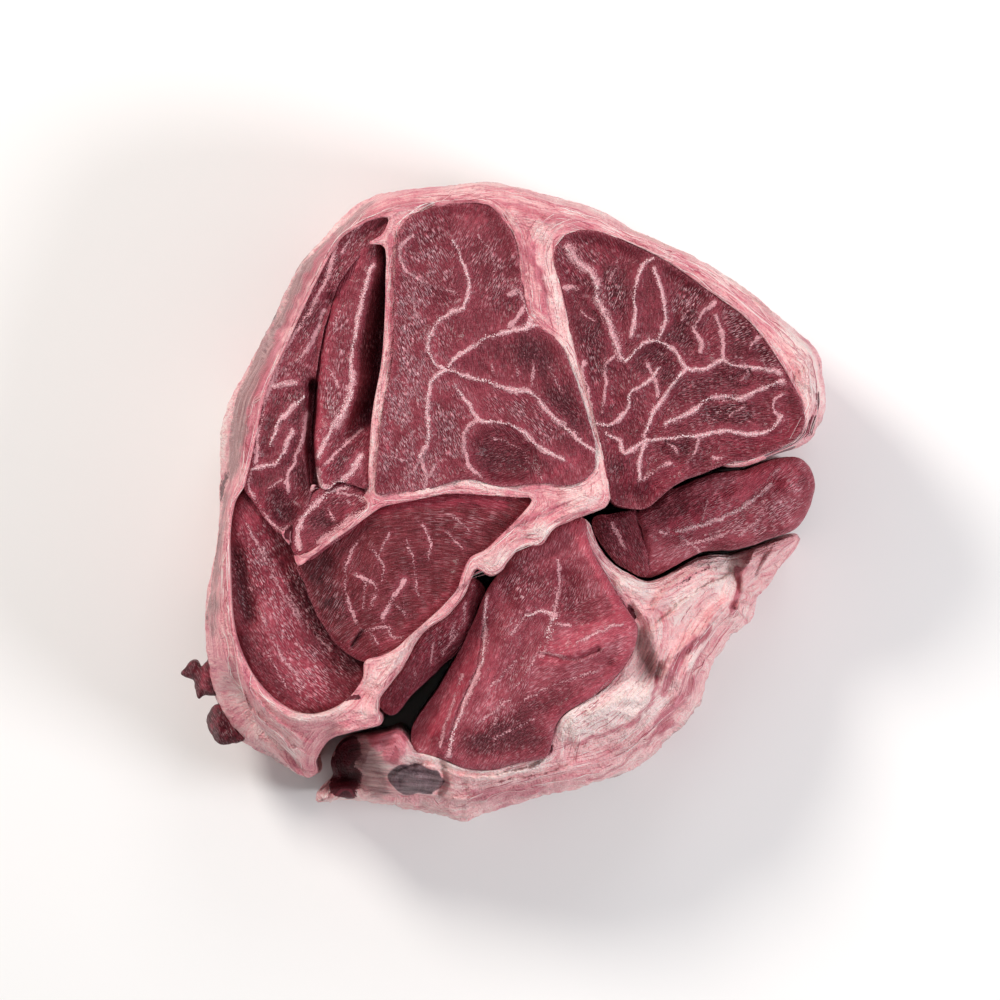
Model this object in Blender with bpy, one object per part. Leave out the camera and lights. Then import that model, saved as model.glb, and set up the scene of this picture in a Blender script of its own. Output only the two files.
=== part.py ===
"""Raw beef shank, boned: a thick piece of lower leg that lies on one cut face and shows the other.

A pale cover of fat and silverskin runs round most of the piece, with two walls and a tendon band that
run in between the muscles. It is split at the lower left, where the bone was taken out, and a second
length of fat closes the lower right. Every muscle is a solid of its own that runs through the piece.

Lengths are in millimetres until a mesh is written. +X is the right of the cut face, +Y its top, and
+Z points up out of it.
"""

import bmesh
import bpy
import numpy as np
from mathutils import Vector, noise
from mathutils.geometry import delaunay_2d_cdt

# Driving dimensions
MM = 0.001
FACE_HEIGHT = 69.3  # the level of the highest muscle's cut face, before its slight dome
FASCIA_HEIGHT = 67.0  # the level of the pale walls between the muscles
SIDE_GROWTH = 1.022  # how much wider the piece is at its girth than the outer outlines below
TOUCHING_GAP = 0.2  # each of two touching muscles stands back by this from the seam they share
COVER_GAP = 0.3  # between a muscle and the cover round it
POINT_SPACING = 4.2  # along an outline
SAME_POINT = 0.3  # points of an outline that are closer than this are one
FACE_SPACING = 5.5  # between the points that carry a face's relief
CUTTER_EXCESS = 5.0  # how far a cutter stands out past the faces
BASE_ROUND = 1.2  # the softened edge round the underside
THIN_ROUND = 0.4  # the same on the cover's edges that face a muscle or the air of the cleft
CENTRE = (0.0, -0.19)  # the middle of the outlines' box, which ends up over the origin

# Seams that two muscles share
SEAM_OUTER_LENS = [
    (-33.5, 64.2), (-39.5, 57), (-43.2, 49), (-46.5, 35), (-48.2, 20), (-48.2, 12), (-47.6, 4),
]
SEAM_OUTER_SIDE = [(-55.3, -8.2), (-58, -6), (-61, -1.5), (-64.3, 3.5)]
SEAM_MIDDLE_SIDE = [(-51, -16.5), (-49, -21.5), (-46.5, -28), (-41, -36.3), (-37.5, -39), (-34.3, -40.2)]
SEAM_HOLLOW = [(34.7, -3.6), (36, -9), (36.6, -13.5), (36.2, -19.1)]

# The tendon band's lower edge, in the stretches that lie against the air, the lower and the inner muscle
TENDON_END = [(26, -2), (21, -4), (17, -5.5)]
TENDON_LOWER = [(17, -5.5), (13, -7.5), (10, -11.3), (5, -12), (2, -15), (0, -18)]
TENDON_KINK = [(0, -18), (-3, -19.3), (-6.2, -17.6), (-7.6, -20)]
TENDON_INNER = [
    (-7.6, -20), (-9.2, -23.8), (-13.5, -29), (-18.5, -32.4), (-21.5, -36), (-25, -42.5), (-31, -50.8),
]

# The lower muscle's edge against the fat, from the tendon clockwise to its lower left
LOWER_EDGE = [
    (20.4, -5), (21.9, -12), (26.5, -20.3), (32, -29.3), (33.7, -33), (31.6, -39.8), (25, -47.2),
    (14.8, -54), (12.3, -60), (11.5, -63.9), (3, -66), (-3, -67.5), (-9, -67), (-17, -64), (-22, -62.8),
]

# Outer outlines: x, y, and how far the face's rim stands in from the girth at that place
UPPER_SIDE = [
    (54.5, 9.2, 0), (57, 8.2, 0), (62, 8.6, 0), (68, 11, 0), (75, 13.6, 0.5), (78.6, 18.5, 1.5),
    (80.4, 24, 2), (79.5, 32, 2), (78, 37.5, 2.5), (69, 46, 3), (58, 55.5, 3), (47, 62.5, 3),
    (34, 67.5, 3), (24, 72.5, 3), (9, 77.5, 3), (-3, 79.8, 3.5), (-12, 78.6, 3), (-24, 77.6, 3),
    (-32, 76, 3.5), (-38, 72, 4), (-46, 64, 5.5), (-51, 58, 6), (-57, 46, 7), (-65, 32, 7.5),
    (-69.5, 22, 8), (-70, 10, 7), (-71, 0, 5), (-72.3, -12, 4), (-74, -26, 5), (-73.5, -38, 6),
    (-72.5, -50, 7), (-67, -60, 6), (-59, -65, 4), (-51, -69.6, 1.5), (-46.4, -69.3, 0.5),
    (-47, -66, 0), (-43, -60.3, 0), (-37, -58.2, 0), (-30.5, -56.5, 0), (-30, -54.3, 0),
]
LOWER_SIDE = [
    (77, -10, 0.1), (75.5, -12.8, 0.2), (70, -18, 0.6), (64, -24, 1.5), (62.5, -29.5, 2), (57, -34, 2),
    (51.5, -43, 2), (49, -51.5, 2), (43, -59, 3), (34, -67, 3), (25, -70.6, 3), (11, -73.5, 3),
    (1, -76.7, 3.5), (-9, -80.3, 3.5), (-18, -78.3, 3), (-28, -76.9, 2.5), (-38, -75.8, 2), (-46, -76.2, 1),
    (-47.3, -74.8, 0), (-43.8, -71.3, 0), (-44.2, -67, 0), (-41.3, -61.8, 0), (-36, -60, 0),
    (-29.5, -58.7, 0), (-26, -57.8, 0), (-23.6, -60, 0), (-22, -62.8, 0),
]

# Torn scraps of lean on the left side: lowest and highest level, outline
TAGS = {
    "lean_tag_upper": (20, 36, [
        (-72, -39), (-76.5, -39.5), (-79.5, -42), (-82.6, -44.5), (-80, -47.8), (-78.5, -51), (-72, -49),
    ]),
    "lean_tag_lower": (14, 34, [
        (-71, -53), (-75.4, -54), (-76, -59), (-73.8, -62), (-71, -62.8), (-67, -62), (-66, -57),
    ]),
}

COLOURS = {
    "lean": (0.30, 0.055, 0.065),
    "fat": (0.80, 0.52, 0.48),
}


# Curves and distances
def open_curve(points, spacing=POINT_SPACING):
    """A smooth curve through the points, whose own points are about evenly spaced."""
    points = np.array(points, float)
    before = 2 * points[:1] - points[1:2]
    after = 2 * points[-1:] - points[-2:-1]
    p = np.concatenate([before, points, after])
    t = np.linspace(0, 1, 12, endpoint=False)[:, None]
    pieces = []
    for a, b, c, d in zip(p, p[1:], p[2:], p[3:]):
        linear = (c - a) * t
        square = (2 * a - 5 * b + 4 * c - d) * t**2
        cube = (3 * b - a - 3 * c + d) * t**3
        pieces.append(0.5 * (2 * b + linear + square + cube))
    fine = np.concatenate(pieces + [points[-1:]])
    along = np.concatenate([[0], np.cumsum(np.linalg.norm(np.diff(fine[:, :2], axis=0), axis=1))])
    count = max(2, int(round(along[-1] / spacing)) + 1)
    wanted = np.linspace(0, along[-1], count)
    return np.stack([np.interp(wanted, along, column) for column in fine.T], axis=1)


def plain(points):
    """Points on an edge that doesn't flare."""
    return [(x, y, 0) for x, y in points]


def chain(*curves):
    """One closed loop from curves that follow each other; an end that two of them share is kept once."""
    loop = np.concatenate([open_curve(curve) for curve in curves])
    apart = np.linalg.norm(loop[:, :2] - np.roll(loop[:, :2], 1, axis=0), axis=1) > SAME_POINT
    loop = loop[apart]
    return loop if area(loop) > 0 else loop[::-1]


def area(loop):
    x, y = loop[:, 0], loop[:, 1]
    return 0.5 * float(np.sum(x * np.roll(y, -1) - y * np.roll(x, -1)))


def outward(loop):
    """Unit normals that point out of a loop that runs anticlockwise."""
    along = np.roll(loop[:, :2], -1, axis=0) - np.roll(loop[:, :2], 1, axis=0)
    along /= np.linalg.norm(along, axis=1)[:, None]
    return np.stack([along[:, 1], -along[:, 0]], axis=1)


def distance(points, line, closed=True):
    """How far each point is from a line of points."""
    line = np.array(line, float)[:, :2]
    start = line if closed else line[:-1]
    end = np.roll(line, -1, axis=0) if closed else line[1:]
    step = end - start
    offset = points[:, None, :2] - start[None]
    share = np.clip((offset * step).sum(axis=2) / (step**2).sum(axis=1), 0, 1)
    return np.linalg.norm(offset - share[..., None] * step, axis=2).min(axis=1)


def inside(points, loop):
    x, y = points[:, 0][:, None], points[:, 1][:, None]
    ax, ay = loop[:, 0], loop[:, 1]
    bx, by = np.roll(ax, -1), np.roll(ay, -1)
    crosses = (ay > y) != (by > y)
    level = ax + (y - ay) / np.where(by == ay, 1, by - ay) * (bx - ax)
    return (crosses & (x < level)).sum(axis=1) % 2 == 1


def ease(value, low, high):
    """0 below low and 1 above high, with a smooth change between them."""
    t = np.clip((value - low) / (high - low), 0, 1)
    return t * t * (3 - 2 * t)


# Outlines of the muscles
OUTER = chain(
    [(-64.3, 3.5), (-61.8, 14), (-58.8, 27.5), (-53, 40.5), (-46.2, 55), (-41, 64.3), (-38, 67),
     (-33, 69.8), (-28.6, 70.4)],
    [(-28.6, 70.4), (-28.9, 67.8), (-30.5, 66.3), (-33.5, 64.2)],
    SEAM_OUTER_LENS,
    [(-47.6, 4), (-48.8, -0.5), (-50.6, -4.6), (-53.2, -7.6), (-55.3, -8.2)],
    SEAM_OUTER_SIDE,
)
LENS = chain(
    SEAM_OUTER_LENS[::-1],
    [(-33.5, 64.2), (-31, 65), (-29.4, 63)],
    [(-29.4, 63), (-29.3, 50), (-30.2, 35), (-32.5, 22), (-33.5, 8), (-33.8, 3.6)],
    [(-33.8, 3.6), (-36.5, 3.8), (-40, 5.2), (-42.5, 4.2), (-45, 2.6), (-47.6, 4)],
)
CORNER = chain(
    [(-49.3, -13.3), (-51.2, -11), (-51, -8.2), (-49.2, -5.2), (-47.3, -1.6), (-45.4, 0.7)],
    [(-45.4, 0.7), (-43, 1.8), (-40.5, 2.7), (-37.5, 1.9), (-34.2, 0.8), (-33.8, -1.2)],
    [(-33.8, -1.2), (-36, -3.6), (-40, -7), (-45, -10.4), (-49.3, -13.3)],
)
MIDDLE = chain(
    SEAM_MIDDLE_SIDE[::-1],
    [(-51, -16.5), (-49, -15.3), (-45, -12.3), (-35, -5.3), (-30, -1.9), (-20, 0.2), (-13, 1.5),
     (0, 0.8), (7.3, 0.2)],
    [(7.3, 0.2), (5, -3.3), (1, -7.3), (-4, -12.2), (-8.6, -14.8), (-10, -18.3), (-11.2, -22),
     (-15.5, -27), (-24, -34.6), (-28, -38), (-34.3, -40.2)],
)
SIDE = chain(
    SEAM_MIDDLE_SIDE,
    [(-34.3, -40.2), (-34.5, -43.5), (-39, -50), (-47, -53.5), (-54.5, -51.5), (-62, -44),
     (-66.8, -32), (-68, -14), (-67.6, -5), (-66.5, 0), (-64.3, 3.5)],
    SEAM_OUTER_SIDE[::-1],
    [(-55.3, -8.2), (-53.6, -10.5), (-52.6, -13), (-51, -16.5)],
)
CENTRAL = chain(
    [(-31, 2.2), (-31, 8), (-29.5, 22), (-27, 35), (-26.5, 50), (-26, 64), (-24, 69), (-19, 72.2),
     (-12, 73.8), (-4, 73.8), (0, 70)],
    [(0, 70), (2.5, 66), (4, 60), (5.4, 49), (7, 45), (12, 41), (15.5, 36.5), (19.5, 25.5), (22.8, 14),
     (22.5, 7.5)],
    [(22.5, 7.5), (19.5, 5), (15, 4), (10, 4.5), (0, 3.8), (-8, 5.5), (-14, 4.5), (-20, 2.8),
     (-31, 2.2)],
)
RIGHT = chain(
    [(28.2, -0.4), (27, 4), (25.2, 13), (22, 26), (18, 40), (15.3, 52), (13.2, 61), (14.5, 65)],
    [(14.5, 65), (18, 66.8), (22, 67), (28, 65.5), (40, 60), (53, 51), (62, 44), (70, 33), (74.5, 24),
     (75.3, 19), (73, 15.5)],
    [(73, 15.5), (68, 12.8), (62, 10.3), (57, 9.8), (52, 7.6), (44, 4.6), (38, -0.3), (34.5, -2.3),
     (31, -1.2), (28.2, -0.4)],
)
INNER = chain(
    TENDON_INNER,
    [(-31, -50.8), (-29.2, -52.4), (-27.2, -54.6), (-24, -50), (-15, -41.5), (-10, -36.5), (-6.8, -28),
     (-4.6, -22.6)],
    [(-4.6, -22.6), (-5.4, -20.8), (-7.6, -20)],
)
LOWER = chain(
    TENDON_LOWER,
    [(0, -18), (-4, -24), (-9, -35.5), (-15, -46.5), (-21.5, -56), (-22.6, -60), (-22, -62.8)],
    LOWER_EDGE[::-1],
    [(20.4, -5), (18.8, -4.8), (17, -5.5)],
)
HOLLOW_LEFT = chain(
    SEAM_HOLLOW[::-1],
    [(34.7, -3.6), (31, -3.2), (27, -4), (23.4, -4.9)],
    [(23.4, -4.9), (24.2, -8.8), (26.2, -12.2), (28.6, -15.2), (32, -17.4), (36.2, -19.1)],
)
HOLLOW_RIGHT = chain(
    SEAM_HOLLOW,
    [(36.2, -19.1), (41, -18), (50, -13), (60, -12), (70, -8.6), (74, -7)],
    [(74, -7), (77, -3), (78.6, 4), (77.5, 8), (74.5, 10.4)],
    [(74.5, 10.4), (69, 10), (63, 7.7), (53, 6.1), (46, 3.4), (41, 1.3), (38, -1.7), (34.7, -3.6)],
)
UPPER_COVER = chain(
    UPPER_SIDE,
    plain([(-30, -54.3), (-30.8, -52.8), (-31, -50.8)]),
    plain(TENDON_INNER[::-1]),
    plain(TENDON_KINK[::-1]),
    plain(TENDON_LOWER[::-1]),
    plain(TENDON_END[::-1]),
    plain([(26, -2), (29, 3), (36, 8), (44, 10), (51, 11.5), (54.5, 9.2)]),
)
LOWER_COVER = chain(
    LOWER_SIDE,
    plain(LOWER_EDGE[::-1]),
    plain([(20.4, -5), (22.2, -6), (23.2, -9), (25.2, -12.8), (27.8, -16), (31.5, -18.3),
           (38.5, -20.4)]),
    plain([(38.5, -20.4), (50, -14.7), (60, -13.6), (70, -10.2), (75.5, -8.6), (77, -10)]),
)

# The white crest along the lens muscle: its right flank falls into a deep fissure
LENS_CREST = [(-32.5, 59), (-35.5, 48), (-37.5, 35), (-38.5, 25), (-42.5, 19), (-46, 11)]


# The level of each cut face
def outer_top(p):
    return FACE_HEIGHT - 2.5 - 1.5 * ease(-p[:, 1], -10, 8)


def lens_top(p):
    crest_x = np.interp(-p[:, 1], [-y for _, y in LENS_CREST], [x for x, _ in LENS_CREST])
    fissure = ease(p[:, 0] - crest_x, 0, 7) * ease(p[:, 1], 10, 30)
    return FACE_HEIGHT - 2.5 - 0.25 * np.clip(crest_x - p[:, 0], 0, 12) - 13 * fissure


def corner_top(p):
    return np.full(len(p), FACE_HEIGHT - 4.5)


def central_top(p):
    hollow_lobe = 1 - ease(np.hypot((p[:, 0] - 0.5) / 10, (p[:, 1] - 11) / 8), 0.3, 1.1)
    return FACE_HEIGHT - 2.5 * hollow_lobe


def right_top(p):
    return FACE_HEIGHT - 1 - 4 * ease(-p[:, 1], -9, 2) * ease(-p[:, 0], -60, -42)


def middle_top(p):
    return FACE_HEIGHT - 3 - 3.5 * ease(-p[:, 0], 25, 52)


def side_top(p):
    """The side muscle falls towards the middle one, which stands over it."""
    return FACE_HEIGHT - 5 - 7 * (1 - ease(distance(p, SEAM_MIDDLE_SIDE, closed=False), 0, 15))


def inner_top(p):
    return FACE_HEIGHT - 11 - 6 * ease(distance(p, TENDON_INNER, closed=False), 0, 10)


def lower_top(p):
    """The lower muscle tilts down to the left, and a facet along its left edge falls into the cleft."""
    tilt = 0.07 * np.clip(25 - p[:, 0], 0, 50)
    facet = 1 - ease(distance(p, [(-4, -24), (-9, -35.5), (-21.5, -56)], closed=False), 1, 9)
    return FACE_HEIGHT - 4.5 - tilt - 7 * facet * ease(-p[:, 1], 20, 34)


def hollow_left_top(p):
    return np.full(len(p), FACE_HEIGHT - 18.0)


def hollow_right_top(p):
    front = 1 - ease(p[:, 1] + 0.35 * (62 - p[:, 0]), -12, 0)
    return FACE_HEIGHT - 17 + 4 * ease(p[:, 0], 38, 72) - 3 * front


def upper_cover_top(p):
    """Level between the muscles, with the pale lobe at the lower left falling away from the side muscle."""
    lobe = np.clip(distance(p, SIDE) - 2, 0, 20) * ~inside(p, SIDE)
    return FASCIA_HEIGHT - 1.7 * lobe * ease(-p[:, 1], 38, 50) * ease(-p[:, 0], 38, 46)


def lower_cover_top(p):
    """A flap of fat that falls away from the lower muscle, with a scrap of lean on its left end."""
    fall = 0.85 * np.where(inside(p, LOWER), 0, distance(p, LOWER))
    scrap = 1 - ease(np.hypot(p[:, 0] + 28, p[:, 1] + 62), 3, 8)
    wall = ease(-p[:, 0], 33, 41)
    return np.clip(FACE_HEIGHT - 9 - fall + 7 * scrap - 14 * wall, 18, 70)


# Meshes
def filled(loop, inner):
    """Triangles, as indices into the loop's points followed by the inner ones, that fill the loop."""
    points = np.concatenate([loop[:, :2], inner])
    edges = [(i, (i + 1) % len(loop)) for i in range(len(loop))]
    found = delaunay_2d_cdt([Vector(p) for p in points], edges, [], 0, 1e-7, True)
    origin = np.array([sources[0] for sources in found[3]])
    triangles = origin[np.array(found[2])]
    return triangles[inside(points[triangles].mean(axis=1), loop)].tolist()


def relief_points(loop, spacing, margin):
    """A staggered grid of points inside a loop, clear of its edge."""
    low, high = loop[:, :2].min(axis=0), loop[:, :2].max(axis=0)
    rows = np.arange(low[1], high[1], spacing * 0.866)
    grid = []
    for i, y in enumerate(rows):
        xs = np.arange(low[0] + (i % 2) * spacing / 2, high[0], spacing)
        grid.append(np.stack([xs, np.full(len(xs), y)], axis=1))
    grid = np.concatenate(grid)
    grid = grid[inside(grid, loop)]
    return grid[distance(grid, loop) > margin]


def loft(rings, top, spacing=FACE_SPACING):
    """A closed body from rings that rise from the underside, with a filled face at each end."""
    count = len(rings[0])
    bm = bmesh.new()
    walls = [[bm.verts.new(p) for p in ring] for ring in rings]
    for below, above in zip(walls, walls[1:]):
        for i in range(count):
            j = (i + 1) % count
            bm.faces.new((below[i], below[j], above[j], above[i]))
    for a, b, c in filled(rings[0], np.empty((0, 2))):
        bm.faces.new((walls[0][c], walls[0][b], walls[0][a]))
    inner = relief_points(rings[-1], spacing, spacing * 0.6)
    heights = top(inner) if len(inner) else []
    face = walls[-1] + [bm.verts.new((x, y, z)) for (x, y), z in zip(inner, heights)]
    for corners in filled(rings[-1], inner):
        bm.faces.new([face[i] for i in corners])
    for vert in bm.verts:
        vert.co = (vert.co - Vector((*CENTRE, 0))) * MM
    bmesh.ops.recalc_face_normals(bm, faces=bm.faces)
    bmesh.ops.triangulate(bm, faces=bm.faces)
    return bm


def ring(loop, stand_in, height):
    """The loop moved in by stand_in, at a height that may change along it."""
    moved = loop[:, :2] - outward(loop) * np.broadcast_to(stand_in, len(loop))[:, None]
    return np.column_stack([moved, np.broadcast_to(height, len(loop))])


def muscle(loop, top, rim):
    """A straight-sided solid with softened rims and its face at the level that top gives."""
    edge = top(loop[:, :2]) - 0.4
    rings = [
        ring(loop, TOUCHING_GAP + BASE_ROUND, 0),
        ring(loop, TOUCHING_GAP, BASE_ROUND * 1.5),
        ring(loop, TOUCHING_GAP, edge - 1.3 * rim),
        ring(loop, TOUCHING_GAP + 0.3 * rim, edge - 0.4 * rim),
        ring(loop, TOUCHING_GAP + rim, edge),
    ]
    return loft(rings, top)


def cutter(loop):
    """The room that a muscle takes in the cover: its own outline with the gap round it, right through."""
    grown = TOUCHING_GAP - COVER_GAP
    above = FACE_HEIGHT + CUTTER_EXCESS
    rings = [ring(loop, grown, -CUTTER_EXCESS), ring(loop, grown, above)]
    return loft(rings, lambda p: np.full(len(p), above), spacing=200)


def folds(points, height):
    """Slow swells in the outer skin, up to about 1.5 mm either way."""
    return np.array([1.5 * noise.noise(Vector((x / 24, y / 24, height / 30))) for x, y in points[:, :2]])


def cover(loop, top, grow=0.0, rim=2.5):
    """A body whose outer side swells from the rim to a girth and draws in to the underside."""
    flare = loop[:, 2]
    outer = ease(flare, 0, 1)
    swollen = loop.copy()
    swollen[:, :2] *= (1 + (SIDE_GROWTH - 1) * outer)[:, None]
    levels = (  # share of the local height, share of the flare, further stand-in in millimetres
        (0.00, 0.50, 4.5), (0.05, 0.35, 2.0), (0.18, 0.15, 0.3), (0.42, 0.00, 0.0),
        (0.68, 0.20, 0.0), (0.85, 0.55, 0.0), (0.955, 0.90, 0.0), (1.00, 1.00, rim),
    )
    height = top(loop[:, :2])
    rings = []
    for share, flared, further in levels:
        swell = folds(loop, share * 70) * outer * (0 < share < 0.95)
        edge = outer * further + (1 - outer) * min(further, THIN_ROUND)
        rings.append(ring(swollen, TOUCHING_GAP + flare * flared + edge - swell - grow, height * share))
    return loft(rings, top)


# Objects
def add_object(name, bm, collection, colour=None):
    mesh = bpy.data.meshes.new(name)
    bm.to_mesh(mesh)
    bm.free()
    obj = bpy.data.objects.new(name, mesh)
    collection.objects.link(obj)
    if colour:
        mesh.materials.append(surface(name, COLOURS[colour]))
        mesh.shade_smooth()
        mesh.set_sharp_from_angle(angle=0.7)
    return obj


def surface(name, colour):
    material = bpy.data.materials.new(name)
    material.use_nodes = True
    shader = material.node_tree.nodes["Principled BSDF"]
    shader.inputs["Base Color"].default_value = (*colour, 1)
    shader.inputs["Roughness"].default_value = 0.42
    shader.inputs["Metallic"].default_value = 0
    return material


def tag(name, points, low, high, skin, collection):
    """A torn scrap of lean that stands out of the side, cut to lie against the skin there."""
    loop = chain(points + points[:1])
    rings = [ring(loop, 1.2, low), ring(loop, 0, low + 3), ring(loop, 0, high - 3), ring(loop, 1.2, high)]
    scrap = add_object(name, loft(rings, lambda p: np.full(len(p), high)), collection, "lean")
    cut_away(scrap, skin)


def hidden(obj):
    obj.hide_render = True
    obj.display_type = "WIRE"
    return obj


def cut_away(obj, tool):
    cut = obj.modifiers.new("Cut by " + tool.name, "BOOLEAN")
    cut.operation = "DIFFERENCE"
    cut.object = tool


def main():
    for obj in list(bpy.data.objects):
        bpy.data.objects.remove(obj, do_unlink=True)
    parts = bpy.data.collections.new("beef_shank")
    cutters = bpy.data.collections.new("cutters")
    for collection in (parts, cutters):
        bpy.context.scene.collection.children.link(collection)

    # outline, face and the width of the softened rim
    enclosed = {
        "muscle_outer": (OUTER, outer_top, 1.2),
        "muscle_lens": (LENS, lens_top, 1.6),
        "muscle_corner": (CORNER, corner_top, 1.0),
        "muscle_centre": (CENTRAL, central_top, 1.6),
        "muscle_right": (RIGHT, right_top, 1.6),
        "muscle_middle": (MIDDLE, middle_top, 1.6),
        "muscle_side": (SIDE, side_top, 1.6),
    }
    exposed = {
        "muscle_inner": (INNER, inner_top, 1.0),
        "muscle_lower": (LOWER, lower_top, 1.8),
        "muscle_hollow_left": (HOLLOW_LEFT, hollow_left_top, 1.2),
        "muscle_hollow_right": (HOLLOW_RIGHT, hollow_right_top, 1.8),
    }
    for name, (loop, top, rim) in {**enclosed, **exposed}.items():
        add_object(name, muscle(loop, top, rim), parts, "lean")

    fascia = add_object("fascia_cover", cover(UPPER_COVER, upper_cover_top), parts, "fat")
    for name, (loop, _, _) in enclosed.items():
        cut_away(fascia, hidden(add_object("room_" + name, cutter(loop), cutters)))
    add_object("fat_flap", cover(LOWER_COVER, lower_cover_top), parts, "fat")

    skin = hidden(add_object("grown_skin", cover(UPPER_COVER, upper_cover_top, grow=COVER_GAP), cutters))
    for name, (low, high, points) in TAGS.items():
        tag(name, points, low, high, skin, parts)


main()
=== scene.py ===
import math

import bmesh
import bpy
import numpy as np
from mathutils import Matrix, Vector, kdtree, noise
from mathutils.geometry import delaunay_2d_cdt


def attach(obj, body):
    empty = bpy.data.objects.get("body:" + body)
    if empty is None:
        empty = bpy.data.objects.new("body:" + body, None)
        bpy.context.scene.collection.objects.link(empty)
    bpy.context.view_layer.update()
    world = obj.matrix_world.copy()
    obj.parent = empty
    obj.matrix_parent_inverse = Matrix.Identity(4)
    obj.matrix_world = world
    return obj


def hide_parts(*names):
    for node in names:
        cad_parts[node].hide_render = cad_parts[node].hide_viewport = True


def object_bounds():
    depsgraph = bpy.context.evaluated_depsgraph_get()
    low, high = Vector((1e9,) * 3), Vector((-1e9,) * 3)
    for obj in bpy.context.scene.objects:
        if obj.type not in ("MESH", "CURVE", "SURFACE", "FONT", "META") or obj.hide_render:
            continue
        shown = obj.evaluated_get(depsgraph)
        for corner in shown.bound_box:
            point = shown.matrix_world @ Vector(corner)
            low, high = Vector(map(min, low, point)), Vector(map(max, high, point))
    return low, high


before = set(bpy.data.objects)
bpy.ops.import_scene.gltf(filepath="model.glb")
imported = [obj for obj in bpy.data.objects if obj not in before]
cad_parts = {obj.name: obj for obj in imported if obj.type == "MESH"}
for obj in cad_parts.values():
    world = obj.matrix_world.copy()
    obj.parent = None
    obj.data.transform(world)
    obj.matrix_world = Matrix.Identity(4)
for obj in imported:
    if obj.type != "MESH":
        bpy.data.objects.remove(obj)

# Raw beef shank, boned, lying on one cut face. Shapes are drawn in millimetres, +X right, +Y up the picture.
cadLow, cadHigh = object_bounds()
print("beef shank: packed solids loaded")

mm = 0.001
faceLevel = cadHigh.z / mm  # the highest cut face
fasciaLevel = faceLevel - 1.3  # the pale walls between the muscles stand a little lower
drawnCentre = np.array([0.0, -0.19])  # the middle of the drawn outlines, which lies over the origin
skinGap = 0.2  # the solids stand back from the drawn outlines by this
footLevel = 1.8  # where the straight walls of the solids begin

camera = {
    "lens": 200,
    "sensor": 36,
    "height": 1.389,  # above the cut face, so that the frame is 250 mm wide there
    "aim": (-0.5, 0.0),  # the drawn point in the middle of the picture
}
studio = {
    "world": 0.42,
    "worldColour": "#f4f5f7",
    "floorColour": "#f1f0ee",
    "floorSize": 3.0,
    "lamps": (  # place in metres, size, watts, colour
        ((-0.6, 0.6, 0.85), 0.35, 9.0, "#fffaf4"),
        ((0.75, -0.2, 0.7), 0.35, 5.6, "#fafaff"),
        ((0.2, 0.8, 0.9), 0.4, 1.5, "#fafaff"),
    ),
}


# Curves, distances and random fields
def ease(value, low, high):
    t = np.clip((value - low) / (high - low), 0, 1)
    return t * t * (3 - 2 * t)


def smoothLine(points, spacing=0.5, closed=False):
    points = np.array(points, float)
    if closed:
        p = np.concatenate([points[-1:], points, points[:2]])
    else:
        p = np.concatenate([2 * points[:1] - points[1:2], points, 2 * points[-1:] - points[-2:-1]])
    t = np.linspace(0, 1, 10, endpoint=False)[:, None]
    spans = []
    for a, b, c, d in zip(p, p[1:], p[2:], p[3:]):
        square = (2 * a - 5 * b + 4 * c - d) * t**2
        cube = (3 * b - a - 3 * c + d) * t**3
        spans.append(0.5 * (2 * b + (c - a) * t + square + cube))
    fine = np.concatenate(spans + [points[:1] if closed else points[-1:]])
    along = np.concatenate([[0], np.cumsum(np.linalg.norm(np.diff(fine[:, :2], axis=0), axis=1))])
    count = max(2, int(round(along[-1] / spacing)) + 1)
    wanted = np.linspace(0, along[-1], count)
    line = np.stack([np.interp(wanted, along, column) for column in fine.T], axis=1)
    return line[:-1] if closed else line


def joinLines(*lines, spacing):
    loop = np.concatenate([smoothLine(line, spacing) for line in lines])
    apart = np.linalg.norm(loop[:, :2] - np.roll(loop[:, :2], 1, axis=0), axis=1) > 0.3 * spacing
    loop = loop[apart]
    return loop if area(loop) > 0 else loop[::-1]


def area(loop):
    x, y = loop[:, 0], loop[:, 1]
    return 0.5 * float(np.sum(x * np.roll(y, -1) - y * np.roll(x, -1)))


def outward(loop, reach=1):
    along = np.roll(loop[:, :2], -reach, axis=0) - np.roll(loop[:, :2], reach, axis=0)
    along /= np.linalg.norm(along, axis=1)[:, None]
    return np.stack([along[:, 1], -along[:, 0]], axis=1)


def inside(points, loop):
    result = np.zeros(len(points), bool)
    low, high = loop[:, :2].min(axis=0), loop[:, :2].max(axis=0)
    near = np.flatnonzero(((points >= low) & (points <= high)).all(axis=1))
    ax, ay = loop[:, 0], loop[:, 1]
    bx, by = np.roll(ax, -1), np.roll(ay, -1)
    slope = (bx - ax) / np.where(by == ay, 1, by - ay)
    for start in range(0, len(near), 4000):
        some = near[start:start + 4000]
        x, y = points[some, 0][:, None], points[some, 1][:, None]
        crosses = (ay > y) != (by > y)
        result[some] = (crosses & (x < ax + (y - ay) * slope)).sum(axis=1) % 2 == 1
    return result


def nearestDots(points, dots):
    tree = kdtree.KDTree(len(dots))
    for index, (x, y) in enumerate(dots[:, :2].tolist()):
        tree.insert((x, y, 0), index)
    tree.balance()
    found = np.array([tree.find((x, y, 0))[1:] for x, y in points[:, :2].tolist()])
    return found[:, 1], found[:, 0].astype(int)


def nearness(points, lines, spacing=0.2, closed=False):
    # how far each point is from the nearest of several lines, and which line that is
    fine = [smoothLine(line, spacing, closed) if len(line) > 1 else np.array(line, float) for line in lines]
    which = np.repeat(np.arange(len(fine)), [len(line) for line in fine])
    away, index = nearestDots(points, np.concatenate([line[:, :2] for line in fine]))
    return away, which[index]


def hashed(i, j, k, seed):
    n = i * 374761393 + j * 668265263 + k * 1442695041 + seed * 974711
    n = (n ^ (n >> 13)) * 1274126177
    n = n ^ (n >> 16)
    return (n & 0xFFFF) / 32767.5 - 1


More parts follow.
